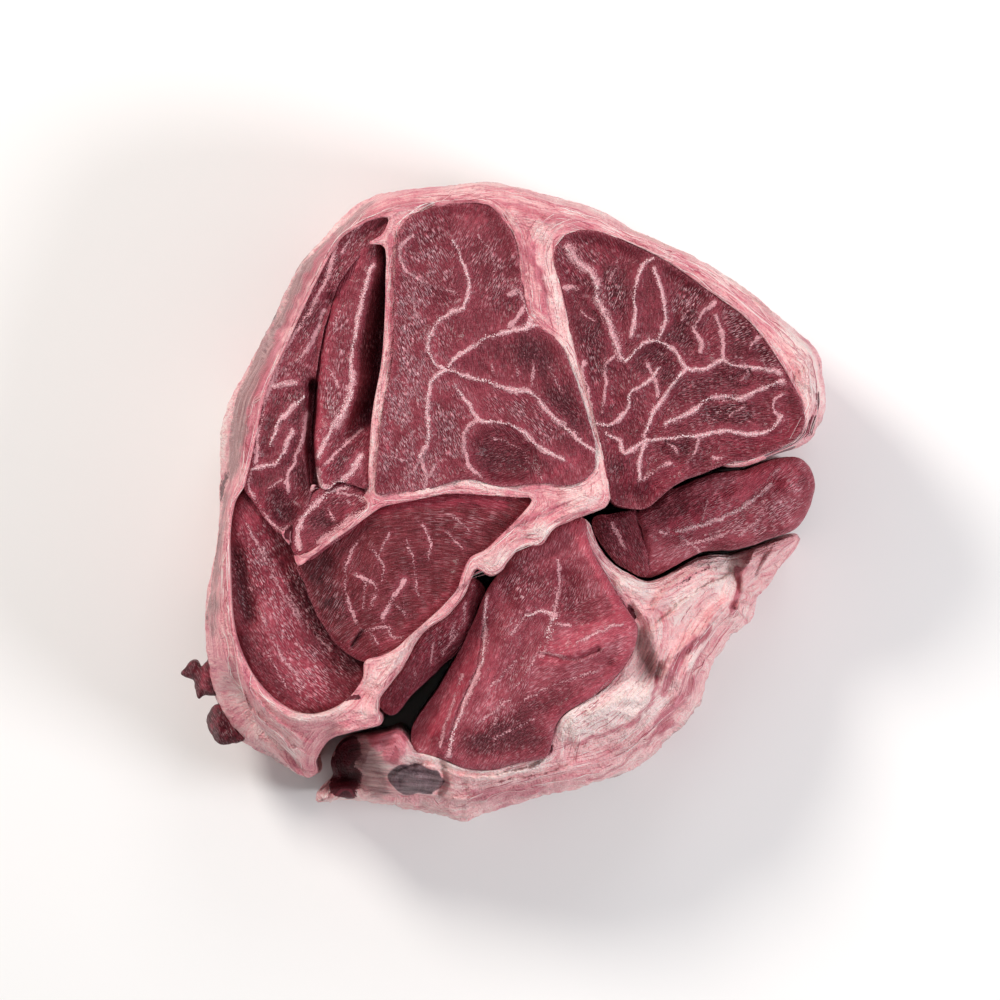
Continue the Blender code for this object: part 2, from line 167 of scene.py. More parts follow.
def swell(points, scale, seed=0):
    # a smooth random field, from about -1 to 1
    p = points / scale
    if p.shape[1] == 2:
        p = np.column_stack([p, np.zeros(len(p))])
    cell = np.floor(p).astype(np.int64)
    f = p - cell
    w = f * f * f * (f * (f * 6 - 15) + 10)
    total = np.zeros(len(p))
    for corner in range(8):
        step = np.array([corner & 1, corner >> 1 & 1, corner >> 2 & 1])
        i, j, k = (cell + step).T
        slope = sum(hashed(i, j, k, seed + 17 * axis) * (f - step)[:, axis] for axis in range(3))
        total += slope * np.prod(np.where(step, w, 1 - w), axis=1)
    return total * 1.6


def rough(points, scale, octaves, seed=0):
    return sum(swell(points, scale / 2**i, seed + 5 * i) / 2**i for i in range(octaves))


def warped(points, amount, scale, seed):
    push = np.stack([rough(points, scale, 2, seed), rough(points, scale, 2, seed + 50)], axis=1)
    return points + amount * push


def paint(points, marks):
    # adds up soft strokes: each has an amount, a reach and the points of its line
    total = np.zeros(len(points))
    for amount, reach, line in marks:
        line = np.array(line, float)
        low, high = line.min(axis=0) - reach, line.max(axis=0) + reach
        near = np.flatnonzero(((points >= low) & (points <= high)).all(axis=1))
        if len(near):
            away, _ = nearness(points[near], [line], 0.5)
            total[near] += amount * (1 - ease(away, 0, reach))
    return total


def lips(points, marks):
    # folds: beside each line its left hand side stands up by the height, and falls away over the reach
    total = np.zeros(len(points))
    for height, reach, line in marks:
        fine = smoothLine(line, 0.3)
        low, high = fine.min(axis=0) - 4 * reach, fine.max(axis=0) + 4 * reach
        near = np.flatnonzero(((points >= low) & (points <= high)).all(axis=1))
        if len(near) == 0:
            continue
        away, index = nearestDots(points[near], fine)
        ahead = np.gradient(fine, axis=0)[index]
        offset = points[near] - fine[index]
        side = np.sign(ahead[:, 0] * offset[:, 1] - ahead[:, 1] * offset[:, 0])
        fade = ease(np.minimum(index, len(fine) - 1 - index), 0, min(10, len(fine) / 3))
        total[near] += height * fade * ease(away * side, -0.3, 0.3) * np.exp(-away / reach)
    return total


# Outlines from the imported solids
def mergedNode(node):
    bm = bmesh.new()
    bm.from_mesh(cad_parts[node].data)
    bmesh.ops.remove_doubles(bm, verts=bm.verts, dist=1e-6)
    return bm


def walkLoops(corners, neighbours):
    loops = []
    left = set(corners)
    while left:
        start = here = min(left)
        loop = []
        while here is not None:
            loop.append(here)
            left.discard(here)
            here = next((n for n in neighbours(here) if n in left), None)
        loops.append(loop)
    return loops


def drawnLoop(points):
    loop = np.array([(p.x / mm, p.y / mm) for p in points]) + drawnCentre
    return loop if area(loop) > 0 else loop[::-1]


def nodeOutline(node):
    # the ring of corners at the foot of a muscle's straight wall
    bm = mergedNode(node)
    ring = {v.index: v for v in bm.verts if abs(v.co.z - footLevel * mm) < 1e-5}
    (loop,) = walkLoops(ring, lambda i: [e.other_vert(ring[i]).index for e in ring[i].link_edges])
    outline = drawnLoop([ring[i].co for i in loop])
    bm.free()
    return outline


def windowOutlines(node, level):
    # the openings of the cover at one level, without the points that lie on a straight stretch
    bm = mergedNode(node)
    geometry = bm.verts[:] + bm.edges[:] + bm.faces[:]
    cut = bmesh.ops.bisect_plane(bm, geom=geometry, plane_co=(0, 0, level * mm), plane_no=(0, 0, 1))
    edges = [e for e in cut["geom_cut"] if isinstance(e, bmesh.types.BMEdge)]
    links = {}
    for edge in edges:
        a, b = edge.verts
        links.setdefault(a, []).append(b)
        links.setdefault(b, []).append(a)
    names = {v: n for n, v in enumerate(links)}
    verts = list(links)
    loops = walkLoops(range(len(verts)), lambda n: [names[v] for v in links[verts[n]]])
    outlines = []
    for loop in loops:
        outline = drawnLoop([verts[n].co for n in loop])
        before = outline - np.roll(outline, 1, axis=0)
        after = np.roll(outline, -1, axis=0) - outline
        turn = before[:, 0] * after[:, 1] - before[:, 1] * after[:, 0]
        bend = np.abs(turn) / (np.linalg.norm(before, axis=1) * np.linalg.norm(after, axis=1) + 1e-9)
        outlines.append(outline[bend > 0.01])
    bm.free()
    outlines.sort(key=lambda o: -abs(area(o)))
    return outlines[1:]


# Bodies: a fine face, walls that hang from its edges and an underside
def fillFace(loops, spacing, seed):
    outline = np.concatenate([loop[:, :2] for loop in loops])
    edges = []
    for loop in loops:
        first = len(edges)
        edges += [(first + i, first + (i + 1) % len(loop)) for i in range(len(loop))]
    low, high = outline.min(axis=0), outline.max(axis=0)
    rows = []
    for i, y in enumerate(np.arange(low[1], high[1], spacing * 0.866)):
        x = np.arange(low[0] + (i % 2) * spacing / 2, high[0], spacing)
        rows.append(np.column_stack([x, np.full(len(x), y)]))
    grid = np.concatenate(rows)
    jitter = np.random.default_rng(seed).uniform(-0.12, 0.12, grid.shape)
    grid += jitter * spacing
    keep = inside(grid, loops[0])
    for hole in loops[1:]:
        keep &= ~inside(grid, hole)
    grid = grid[keep]
    away, _ = nearness(grid, [np.concatenate([loop[:, :2], loop[:1, :2]]) for loop in loops], spacing / 2)
    grid = grid[away > 0.62 * spacing]
    points = np.concatenate([outline, grid])
    found = delaunay_2d_cdt([Vector(p) for p in points.tolist()], edges, [], 0, 1e-7, True)
    if len(found[0]) > len(points):
        print("beef shank: a ring crosses itself", len(found[0]) - len(points))
    origin = np.array([sources[0] if sources else 0 for sources in found[3]])
    triangles = origin[np.array(found[2])]
    corners = points[triangles]
    middle = corners.mean(axis=1)
    doubtful = np.flatnonzero((triangles < len(outline)).all(axis=1))
    good = inside(middle[doubtful], loops[0])
    for hole in loops[1:]:
        good &= ~inside(middle[doubtful], hole)
    keep = np.ones(len(triangles), bool)
    keep[doubtful[~good]] = False
    a, b = corners[:, 1] - corners[:, 0], corners[:, 2] - corners[:, 0]
    cross = a[:, 0] * b[:, 1] - a[:, 1] * b[:, 0]
    triangles[cross < 0] = triangles[cross < 0][:, ::-1]
    return points, triangles[keep & (np.abs(cross) > 1e-9)]


def layGrain(corners, middle, directions):
    # texture coordinates in millimetres, across and along the fibres, straight or round a centre
    places = np.array([d[:2] for d in directions], float)
    shaken = warped(middle, 1.2, 3.0, 91)
    nearest = ((shaken[:, None] - places[None]) ** 2).sum(axis=2).argmin(axis=1)
    grain = np.zeros(corners.shape)
    for number, direction in enumerate(directions):
        mine = nearest == number
        x, y = corners[mine][..., 0], corners[mine][..., 1]
        if len(direction) == 3:
            angle = math.radians(direction[2])
            cos, sin = math.cos(angle), math.sin(angle)
            across, along = y * cos - x * sin, x * cos + y * sin
        else:
            kind, cx, cy = direction[2:]
            radius = np.hypot(x - cx, y - cy)
            turn = np.arctan2(y - cy, x - cx) * math.hypot(direction[0] - cx, direction[1] - cy)
            across, along = (radius, turn) if kind == "arcs" else (turn, radius)
        grain[mine] = np.stack([across, along + 13.7 * number], axis=-1)
    return grain


def layAlongEdges(corners, middle, loops):
    # texture coordinates of a skin in millimetres: in from the nearest edge, and along it
    dots = np.concatenate([loop[:, :2] for loop in loops])
    out = np.concatenate([outward(loop, 3) for loop in loops])
    along = np.concatenate([alongLoop(loop)[:-1] + 97 * number for number, loop in enumerate(loops)])
    _, index = nearestDots(middle, dots)
    offset = corners - dots[index][:, None]
    outX, outY = out[index][:, None, 0], out[index][:, None, 1]
    across = -(offset[..., 0] * outX + offset[..., 1] * outY)
    ahead = offset[..., 1] * outX - offset[..., 0] * outY
    return np.stack([across, along[index][:, None] + ahead], axis=-1)


def alongLoop(loop):
    step = np.linalg.norm(np.roll(loop[:, :2], -1, axis=0) - loop[:, :2], axis=1)
    return np.concatenate([[0], np.cumsum(step)])


def closedBody(loops, walls, height, spacing, underSpacing, seed, directions=None):
    # walls holds, for each loop, its rings from just under the face to the underside. Without
    # directions the body is a skin, whose streaks run along its edges and round it.
    face, faceTriangles = fillFace(loops, spacing, seed)
    points = [np.column_stack([face, height(face)])]
    triangles = [faceTriangles]
    corners = face[faceTriangles]
    lay = layAlongEdges if directions is None else layGrain
    grain = [lay(corners, corners.mean(axis=1), loops if directions is None else directions)]
    kinds = [np.zeros(len(face))]
    total = len(face)
    first = 0
    feet = []
    for number, (loop, rings) in enumerate(zip(loops, walls)):
        count = len(loop)
        along = alongLoop(loop)
        upper = np.arange(first, first + count)
        upperRing = points[0][upper]
        first += count
        here, there = np.arange(count), (np.arange(count) + 1) % count
        drop = np.zeros(count)
        for ring in rings:
            lower = np.arange(total, total + count)
            total += count
            points.append(ring)
            kinds.append(np.ones(count))
            triangles.append(np.stack([lower, lower[there], upper[there]], axis=1))
            triangles.append(np.stack([lower, upper[there], upper], axis=1))
            s, sNext = along[:-1], along[1:]
            if directions is None:
                s, sNext = s + 97 * number, sNext + 97 * number
                z, zUp = -drop - np.linalg.norm(ring - upperRing, axis=1), -drop
                drop = -z
            else:
                z, zUp = ring[:, 2], upperRing[:, 2]
            square = [np.stack([s, z], 1), np.stack([sNext, z[there]], 1),
                      np.stack([sNext, zUp[there]], 1), np.stack([s, zUp], 1)]
            alongRim = directions is None and drop < 17 + 16 * rough(ring, 13, 3, seed + 5)
            alongRim = np.broadcast_to(alongRim, count)[:, None, None]
            for picked in ((0, 1, 2), (0, 2, 3)):
                part = np.stack([square[corner] for corner in picked], 1)
                grain.append(np.where(alongRim, part[..., ::-1], part))
            upper, upperRing = lower, ring
        feet.append((upper, rings[-1]))
    footLoops = [foot[:, :2] for _, foot in feet]
    under, underTriangles = fillFace(footLoops, underSpacing, seed + 1)
    rim = np.concatenate([index for index, _ in feet])
    inner = under[len(rim):]
    lift = 0.25 + 0.25 * rough(inner, 9, 2, seed + 2)
    points.append(np.column_stack([inner, np.clip(lift, 0, 1)]))
    kinds.append(np.full(len(inner), 2.0))
    index = np.concatenate([rim, np.arange(total, total + len(inner))])
    flipped = underTriangles[:, ::-1]
    triangles.append(index[flipped])
    corners = under[flipped]
    grain.append(lay(corners, corners.mean(axis=1), footLoops if directions is None else directions))
    return {
        "points": np.concatenate(points),
        "triangles": np.concatenate(triangles),
        "grain": np.concatenate(grain),
        "kind": np.concatenate(kinds),
    }


def setFields(mesh, fields):
    for key, values in fields.items():
        mesh.attributes.new(key, "FLOAT", "POINT").data.foreach_set("value", np.asarray(values, float))


def addPiece(name, mesh, nodes, slotName):
    obj = bpy.data.objects.new(name, mesh)
    bpy.context.scene.collection.objects.link(obj)
    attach(obj, "root")
    if nodes:
        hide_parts(*nodes)
    print("beef shank:", name, sum(len(face.vertices) - 2 for face in mesh.polygons), "triangles")
    return obj


def makePiece(name, body, fields, material, nodes, slotName):
    mesh = bpy.data.meshes.new(name)
    place = body["points"].copy()
    place[:, :2] -= drawnCentre
    mesh.from_pydata((place * mm).tolist(), [], body["triangles"].tolist())
    mesh.shade_smooth()
    mesh.uv_layers.new(name="grain").data.foreach_set("uv", body["grain"].reshape(-1))
    setFields(mesh, fields)
    mesh.materials.append(material)
    return addPiece(name, mesh, nodes, slotName)


# Materials
def hexColour(text):
    values = [int(text[i:i + 2], 16) / 255 for i in (1, 3, 5)]
    return (*[v / 12.92 if v <= 0.04045 else ((v + 0.055) / 1.055) ** 2.4 for v in values], 1)


def addNode(tree, kind, inputs=None, **settings):
    # a kind without a prefix is a shader node; inputs are values, hex colours, sockets or other nodes
    node = tree.nodes.new(kind if "Node" in kind else "ShaderNode" + kind)
    for key, value in settings.items():
        setattr(node, key, value)
    for key, value in (inputs or {}).items():
        if isinstance(value, str) and value.startswith("#"):
            value = hexColour(value)
        if isinstance(value, bpy.types.Node):
            value = next(output for output in value.outputs if output.enabled)
        if isinstance(value, bpy.types.NodeSocket):
            tree.links.new(value, node.inputs[key])
        else:
            node.inputs[key].default_value = value
    return node


def newMaterial(name):
    material = bpy.data.materials.new(name)
    material.use_nodes = True
    tree = material.node_tree
    tree.nodes.clear()
    return material, tree


def finishMaterial(tree, colour, roughness, height, spec):
    depth = spec["bumpDepth"] * mm
    bump = addNode(tree, "Bump", {"Height": height, "Distance": depth, "Strength": 1})
    shader = addNode(tree, "BsdfPrincipled", {
        "Base Color": colour,
        "Roughness": roughness,
        "Normal": bump,
        "IOR": 1.4,
        "Specular IOR Level": spec["specular"],
        "Subsurface Weight": spec["subsurface"],
        "Subsurface Radius": (1.0, 0.28, 0.22),
        "Subsurface Scale": spec["subsurfaceDepth"] * mm,
        "Coat Weight": spec["coat"],
        "Coat Roughness": spec["coatRoughness"],
    })
    addNode(tree, "OutputMaterial", {"Surface": shader})


def setRamp(ramp, colours):
    # spreads the colours evenly from 0 to 1
    elements = ramp.color_ramp.elements
    while len(elements) < len(colours):
        elements.new(1)
    for index, colour in enumerate(colours):
        elements[index].position = index / (len(colours) - 1)
        elements[index].color = hexColour(colour)


smooth = {"interpolation_type": "SMOOTHSTEP"}
times, timesPlus = {"operation": "MULTIPLY"}, {"operation": "MULTIPLY_ADD"}
colourMix = {"data_type": "RGBA"}


def startMaterial(spec, fieldNames):
    # the painted fields of a piece, and noises that follow its grain or lie in patches
    material, tree = newMaterial(spec["name"])
    place = addNode(tree, "TexCoord").outputs["Object"]
    grain = addNode(tree, "UVMap", uv_map="grain")
    field, noises = {}, {}
    for key in fieldNames:
        field[key] = addNode(tree, "Attribute", attribute_name=key).outputs["Fac"]
    for key, (across, along, detail) in spec["grain"].items():
        turned = addNode(tree, "Mapping", {"Vector": grain, "Scale": (1 / across, 1 / along, 1)})
        noises[key] = addNode(tree, "TexNoise", {"Vector": turned, "Scale": 1, "Detail": detail})
    for key, (size, detail) in spec["patches"].items():
        noises[key] = addNode(tree, "TexNoise", {"Vector": place, "Scale": 1 / (size * mm), "Detail": detail})
    return material, tree, field, noises


# Lean: bundles of wet muscle fibre, cut across. Maroon, with fine strands, painted lighter and with painted
# glints in patches where they would catch the light, and marbling fat that runs through it in crumbly pale
# lines with a soft pink border.
def rawLean(spec):
    material, tree, field, noises = startMaterial(spec, leanFields)

    # how much the strands show here, lighter in the glint patches, and the painted glint dashes on them
    low, high = spec["glintPatch"]
    glintPatch = addNode(tree, "MapRange", {0: noises["patch"], 1: low, 2: high}, **smooth)
    glintPatch = addNode(tree, "Math", {0: glintPatch, 1: field["glint"]}, use_clamp=True, **times)
    amount = addNode(tree, "Math", {0: glintPatch, 1: spec["strandGlintPatch"], 2: spec["strandCalm"]}, **timesPlus)
    strand = addNode(tree, "Math", {0: noises["strand"], 1: spec["strandMiddle"]}, operation="SUBTRACT")
    strand = addNode(tree, "Math", {0: strand, 1: spec["strandLeast"]}, operation="MAXIMUM")
    strand = addNode(tree, "Math", {0: strand, 1: amount}, **times)
    low, high = spec["paintedGlintRange"]
    paintedGlint = addNode(tree, "MapRange", {0: noises["paintedGlint"], 1: low, 2: high}, **smooth)
    more, least = spec["paintedGlintShare"]
    paintedGlintWeight = addNode(tree, "Math", {0: glintPatch, 1: more, 2: least}, **timesPlus)
    paintedGlint = addNode(tree, "Math", {0: paintedGlint, 1: paintedGlintWeight}, **times)

    # one value from dark to light, which a ramp turns to colour; the glint patches are painted lighter in it
    parts = {**noises, **field, "glintPatch": glintPatch}
    value = addNode(tree, "Math", {0: strand, 1: spec["level"]}, operation="ADD")
    for key, weight in (*spec["weights"], ("glintPatch", spec["lift"])):
        value = addNode(tree, "Math", {0: parts[key], 1: weight, 2: value}, **timesPlus)
    ramp = addNode(tree, "ValToRGB", {"Fac": value})
    setRamp(ramp, spec["colours"])
    rosy = addNode(tree, "ValToRGB", {"Fac": value})
    setRamp(rosy, spec["roseColours"])
    uneven, low, high = spec["rosy"]
    rose = addNode(tree, "Math", {0: noises["bundle"], 1: uneven, 2: field["rose"]}, **timesPlus)
    rose = addNode(tree, "MapRange", {0: rose, 1: low, 2: high}, **smooth)
    lean = addNode(tree, "Mix", {0: rose, 6: ramp, 7: rosy}, **colourMix)
    lean = addNode(tree, "Mix", {0: paintedGlint, 6: lean, 7: spec["paintedGlintColour"]}, **colourMix)

    # from the pink border of the marbling in to its crumbly core, and the pale sheath at the muscle's edge,
    # partly a painted highlight along the rim
    crumbly = spec["crumbly"]
    crumbled = addNode(tree, "Math", {0: noises["crumb"], 1: crumbly, 2: -crumbly / 2}, **timesPlus)
    crumbled = addNode(tree, "Math", {0: noises["strand"], 1: 0.5, 2: crumbled}, **timesPlus)
    for key, source, shift, low, high in spec["masks"]:
        shifted = addNode(tree, "Math", {0: crumbled, 1: shift}, operation="ADD")
        shifted = addNode(tree, "Math", {0: shifted, 1: 0.5, 2: field[source]}, **timesPlus)
        parts[key] = addNode(tree, "MapRange", {0: shifted, 1: low, 2: high}, **smooth)
    low, high = spec["sheets"]
    skin = addNode(tree, "MapRange", {0: noises["skin"], 1: low, 2: high}, **smooth)
    parts["walls"] = addNode(tree, "Math", {0: skin, 1: field["wall"]}, **times)
    for key, strength, colour in spec["layers"]:
        amount = addNode(tree, "Math", {0: parts[key], 1: strength}, **times)
        lean = addNode(tree, "Mix", {0: amount, 6: lean, 7: colour}, **colourMix)

    gloss = addNode(tree, "Math", {0: noises["mottle"], 1: -0.2, 2: spec["roughness"] + 0.1}, **timesPlus)
    height = addNode(tree, "Math", {0: strand, 1: spec["strandHeight"]}, **times)
    for key, weight in spec["heights"]:
        height = addNode(tree, "Math", {0: parts[key], 1: weight, 2: height}, **timesPlus)
    finishMaterial(tree, lean, gloss, height, spec)
    return material


# Fat, silverskin and tendon: one wet skin in streaks from deep pink to cream, with blood, grey and lean in
# places
def beefFat(spec):
    material, tree, field, noises = startMaterial(spec, sideFields)
    value = addNode(tree, "Math", {0: field["cream"], 1: spec["creamWeight"], 2: spec["level"]}, **timesPlus)
    for key, weight in spec["weights"]:
        value = addNode(tree, "Math", {0: noises[key], 1: weight, 2: value}, **timesPlus)
    colour = addNode(tree, "ValToRGB", {"Fac": value})
    setRamp(colour, spec["colours"])

    # thin vessels follow the lines where a wide noise passes its middle
    thin = addNode(tree, "Math", {0: noises["vessel"], 1: 0.5, 2: spec["vesselWidth"]}, operation="COMPARE")
    here = addNode(tree, "MapRange", {0: noises["drift"], 1: 0.45, 2: 0.6}, **smooth)
    thin = addNode(tree, "Math", {0: thin, 1: here}, **times)
    thin = addNode(tree, "Math", {0: thin, 1: spec["vessels"]}, **times)
    colour = addNode(tree, "Mix", {0: thin, 6: colour, 7: spec["vesselColour"]}, **colourMix)
    streaked = addNode(tree, "MapRange", {0: noises["broad"], 1: 0.35, 2: 0.65})
    for key, noiseKey, spread, low, high, strength, dark, light in spec["layers"]:
        raised = addNode(tree, "Math", {0: noises[noiseKey], 1: spread, 2: field[key]}, **timesPlus)
        limits = {1: low + spread / 2, 2: high + spread / 2}
        mask = addNode(tree, "MapRange", {0: raised, **limits}, **smooth)
        amount = addNode(tree, "Math", {0: mask, 1: strength}, **times)
        tint = addNode(tree, "Mix", {0: streaked, 6: dark, 7: light}, **colourMix)
        colour = addNode(tree, "Mix", {0: amount, 6: colour, 7: tint}, **colourMix)

    gloss = addNode(tree, "Math", {0: noises["drift"], 1: 0.3, 2: spec["roughness"] - 0.15}, **timesPlus)
    height = addNode(tree, "Math", {0: noises["grit"], 1: spec["gritHeight"]}, **times)
    for key, weight in spec["heights"]:
        height = addNode(tree, "Math", {0: noises[key], 1: weight, 2: height}, **timesPlus)
    finishMaterial(tree, colour, gloss, height, spec)
    return material


# the tone field is each lobe's own tone and, in the strokes noted with the muscles, also painted shade and
# painted light; glint marks where strands are painted lighter with painted glints
leanFields = ("seam", "halo", "edge", "toneAndShading", "rose", "glint", "wall")
leanFinish = {
    "grain": {  # millimetres across and along the fibres, detail
        "strand": (0.26, 1.7, 0),
        "paintedGlint": (0.22, 1.2, 0),
        "bundle": (1.0, 3.6, 3),
        "skin": (2.5, 11, 3),
    },
    "patches": {"patch": (4, 2), "mottle": (8, 3), "crumb": (0.34, 1)},
    "level": -0.17,  # added to the weighted noises
    "weights": (("bundle", 0.5), ("mottle", 0.7), ("toneAndShading", 0.3)),
    "glintPatch": (0.33, 0.6),  # the patches of painted glints, in which strands show lighter, as a range of their noise
    "lift": 0.06,  # how much lighter these are: a painted highlight
    "strandMiddle": 0.52,  # strands are lighter than the rest above this, and darker below it
    "strandLeast": -0.09,
    "strandGlintPatch": 2.6,  # their contrast in glint patches, on top of the calm one
    "strandCalm": 0.5,
    "strandHeight": 1.4,
    "paintedGlintRange": (0.58, 0.67),  # painted glints on the fibres
    "paintedGlintShare": (0.9, 0.07),  # of the painted glints: more in glint patches, and elsewhere
    "rosy": (0.9, 0.6, 1.35),  # unevenness, from, to
    "crumbly": 3.2,  # how ragged the borders of the fat are
    "sheets": (0.42, 0.62),  # the thin sheath on the walls, as a range of its noise
    "colours": ("#46101a", "#5c1b25", "#7c2b37", "#a04955", "#cf8e98"),
    "roseColours": ("#4a0f1b", "#741f2e", "#983444", "#bb505f", "#e08a95"),
    "paintedGlintColour": "#e3b3b9",
    "masks": (  # name, field, shift, from, to
        ("border", "halo", 0, 0.05, 1.0),
        ("core", "seam", -0.1, 0.36, 0.66),
        ("shoulder", "edge", -0.2, 0.1, 0.9),
        ("sheathAndRimHighlight", "edge", -0.25, 0.8, 1.0),
    ),
    "layers": (  # mask, strength, colour
        ("shoulder", 0.35, "#8e3343"),
        # the pale edge line is partly the muscle's membrane and partly a painted highlight along its rim
        ("sheathAndRimHighlight", 0.45, "#c98790"),
        ("border", 0.7, "#a84a5a"),
        ("core", 0.85, "#e6a9b0"),
        ("walls", 0.5, "#84434f"),
    ),
    "heights": (("bundle", 1.2), ("strand", 0.6), ("core", 0.5), ("crumb", 0.8)),
    "roughness": 0.42,
    "specular": 0.3,
    "bumpDepth": 0.35,
    "subsurface": 0.04,
    "subsurfaceDepth": 1.0,
    "coat": 0.08,
    "coatRoughness": 0.12,
}
fatFinish = {
    "grain": {"fine": (0.32, 4.5, 3), "broad": (1.0, 9, 3), "band": (3.0, 26, 2), "vessel": (2.6, 12, 3)},
    "patches": {"drift": (12, 3), "grit": (0.6, 3)},
    "level": -0.9,  # added to the weighted noises
    "weights": (("fine", 0.7), ("broad", 0.8), ("band", 0.6), ("drift", 0.4), ("grit", 0.45)),
    "colours": ("#9c3446", "#c9647a", "#e8939c", "#f9c2c2", "#fee4df"),
    "creamWeight": 0.36,
    "vessels": 0.5,
    "vesselWidth": 0.012,
    "vesselColour": "#b04a5c",
    "layers": (  # field, its noise, spread, from, to, strength, dark, light
        ("silver", "fine", 1.2, 0.05, 0.75, 0.8, "#6e4a4c", "#b38b89"),
        ("blood", "broad", 1.6, 0.25, 0.95, 0.85, "#a83a4e", "#d87a8a"),
        ("rind", "fine", 1.6, 0.5, 1.0, 0.75, "#8d5d4c", "#d9b08c"),
        ("bruise", "drift", 1.0, 0.42, 0.58, 0.95, "#473239", "#8f747a"),
        ("lean", "grit", 0.8, 0.42, 0.58, 1.0, "#43151d", "#7c2d3a"),
    ),
    "gritHeight": 1.3,
    "heights": (("fine", 0.7), ("broad", 1.0)),
    "roughness": 0.42,
    "specular": 0.32,
    "bumpDepth": 0.6,
    "subsurface": 0.12,
    "subsurfaceDepth": 1.4,
    "coat": 0.1,
    "coatRoughness": 0.18,
}


# Levels of the cut faces
def capped(z):
    # presses what stands above the solids' highest face down to a third
    return np.where(z > faceLevel, faceLevel + 0.35 * (z - faceLevel), z)


lensCrest = [(-32.5, 59), (-34, 54), (-35.5, 48), (-37, 41), (-37.7, 33), (-38.3, 25), (-42, 19), (-46, 11)]
middleSide = [(-51, -16.5), (-49, -21.5), (-46.5, -28), (-41, -36.3), (-37.5, -39), (-34.3, -40.2)]
tendonInner = [
    (-7.6, -20), (-9.2, -23.8), (-13.5, -29), (-18.5, -32.4), (-21.5, -36), (-25, -42.5), (-31, -50.8),
]


def outerLevel(p):
    return faceLevel - 2.5 - 1.5 * ease(-p[:, 1], -10, 8)


def lensLevel(p):
    crestX = np.interp(-p[:, 1], [-y for _, y in lensCrest], [x for x, _ in lensCrest])
    fissure = ease(p[:, 0] - crestX, 0.3, 6.5) * ease(p[:, 1], 9, 26)
    return faceLevel - 2.5 - 0.25 * np.clip(crestX - p[:, 0], 0, 12) - 14 * fissure


def cornerLevel(p):
    return np.full(len(p), faceLevel - 4.0)


def centreLevel(p):
    hollow = 1 - ease(np.hypot((p[:, 0] - 0.5) / 10, (p[:, 1] - 11) / 8), 0.3, 1.1)
    return faceLevel - 0.4 - 2.8 * hollow


def rightLevel(p):
    return faceLevel - 1 - 4 * ease(-p[:, 1], -9, 2) * ease(-p[:, 0], -60, -42)


def middleLevel(p):
    return faceLevel - 3 - 3.5 * ease(-p[:, 0], 25, 52)


def sideLevel(p):
    away, _ = nearness(p, [middleSide])
    return faceLevel - 5 - 7 * (1 - ease(away, 0, 15))


def innerLevel(p):
    away, _ = nearness(p, [tendonInner])
    return faceLevel - 11 - 6 * ease(away, 0, 10)


def lowerLevel(p):
    tilt = 0.07 * np.clip(25 - p[:, 0], 0, 50)
    away, _ = nearness(p, [[(-4, -24), (-9, -35.5), (-21.5, -56)]])
    return faceLevel - 4.5 - tilt - 7 * (1 - ease(away, 1, 9)) * ease(-p[:, 1], 20, 34)


def hollowLeftLevel(p):
    return np.full(len(p), faceLevel - 18.0)


def hollowRightLevel(p):
    fall = 3 * (1 - ease(p[:, 1] + 0.35 * (62 - p[:, 0]), -12, 0))
    return faceLevel - 17 + 4 * ease(p[:, 0], 38, 72) - fall


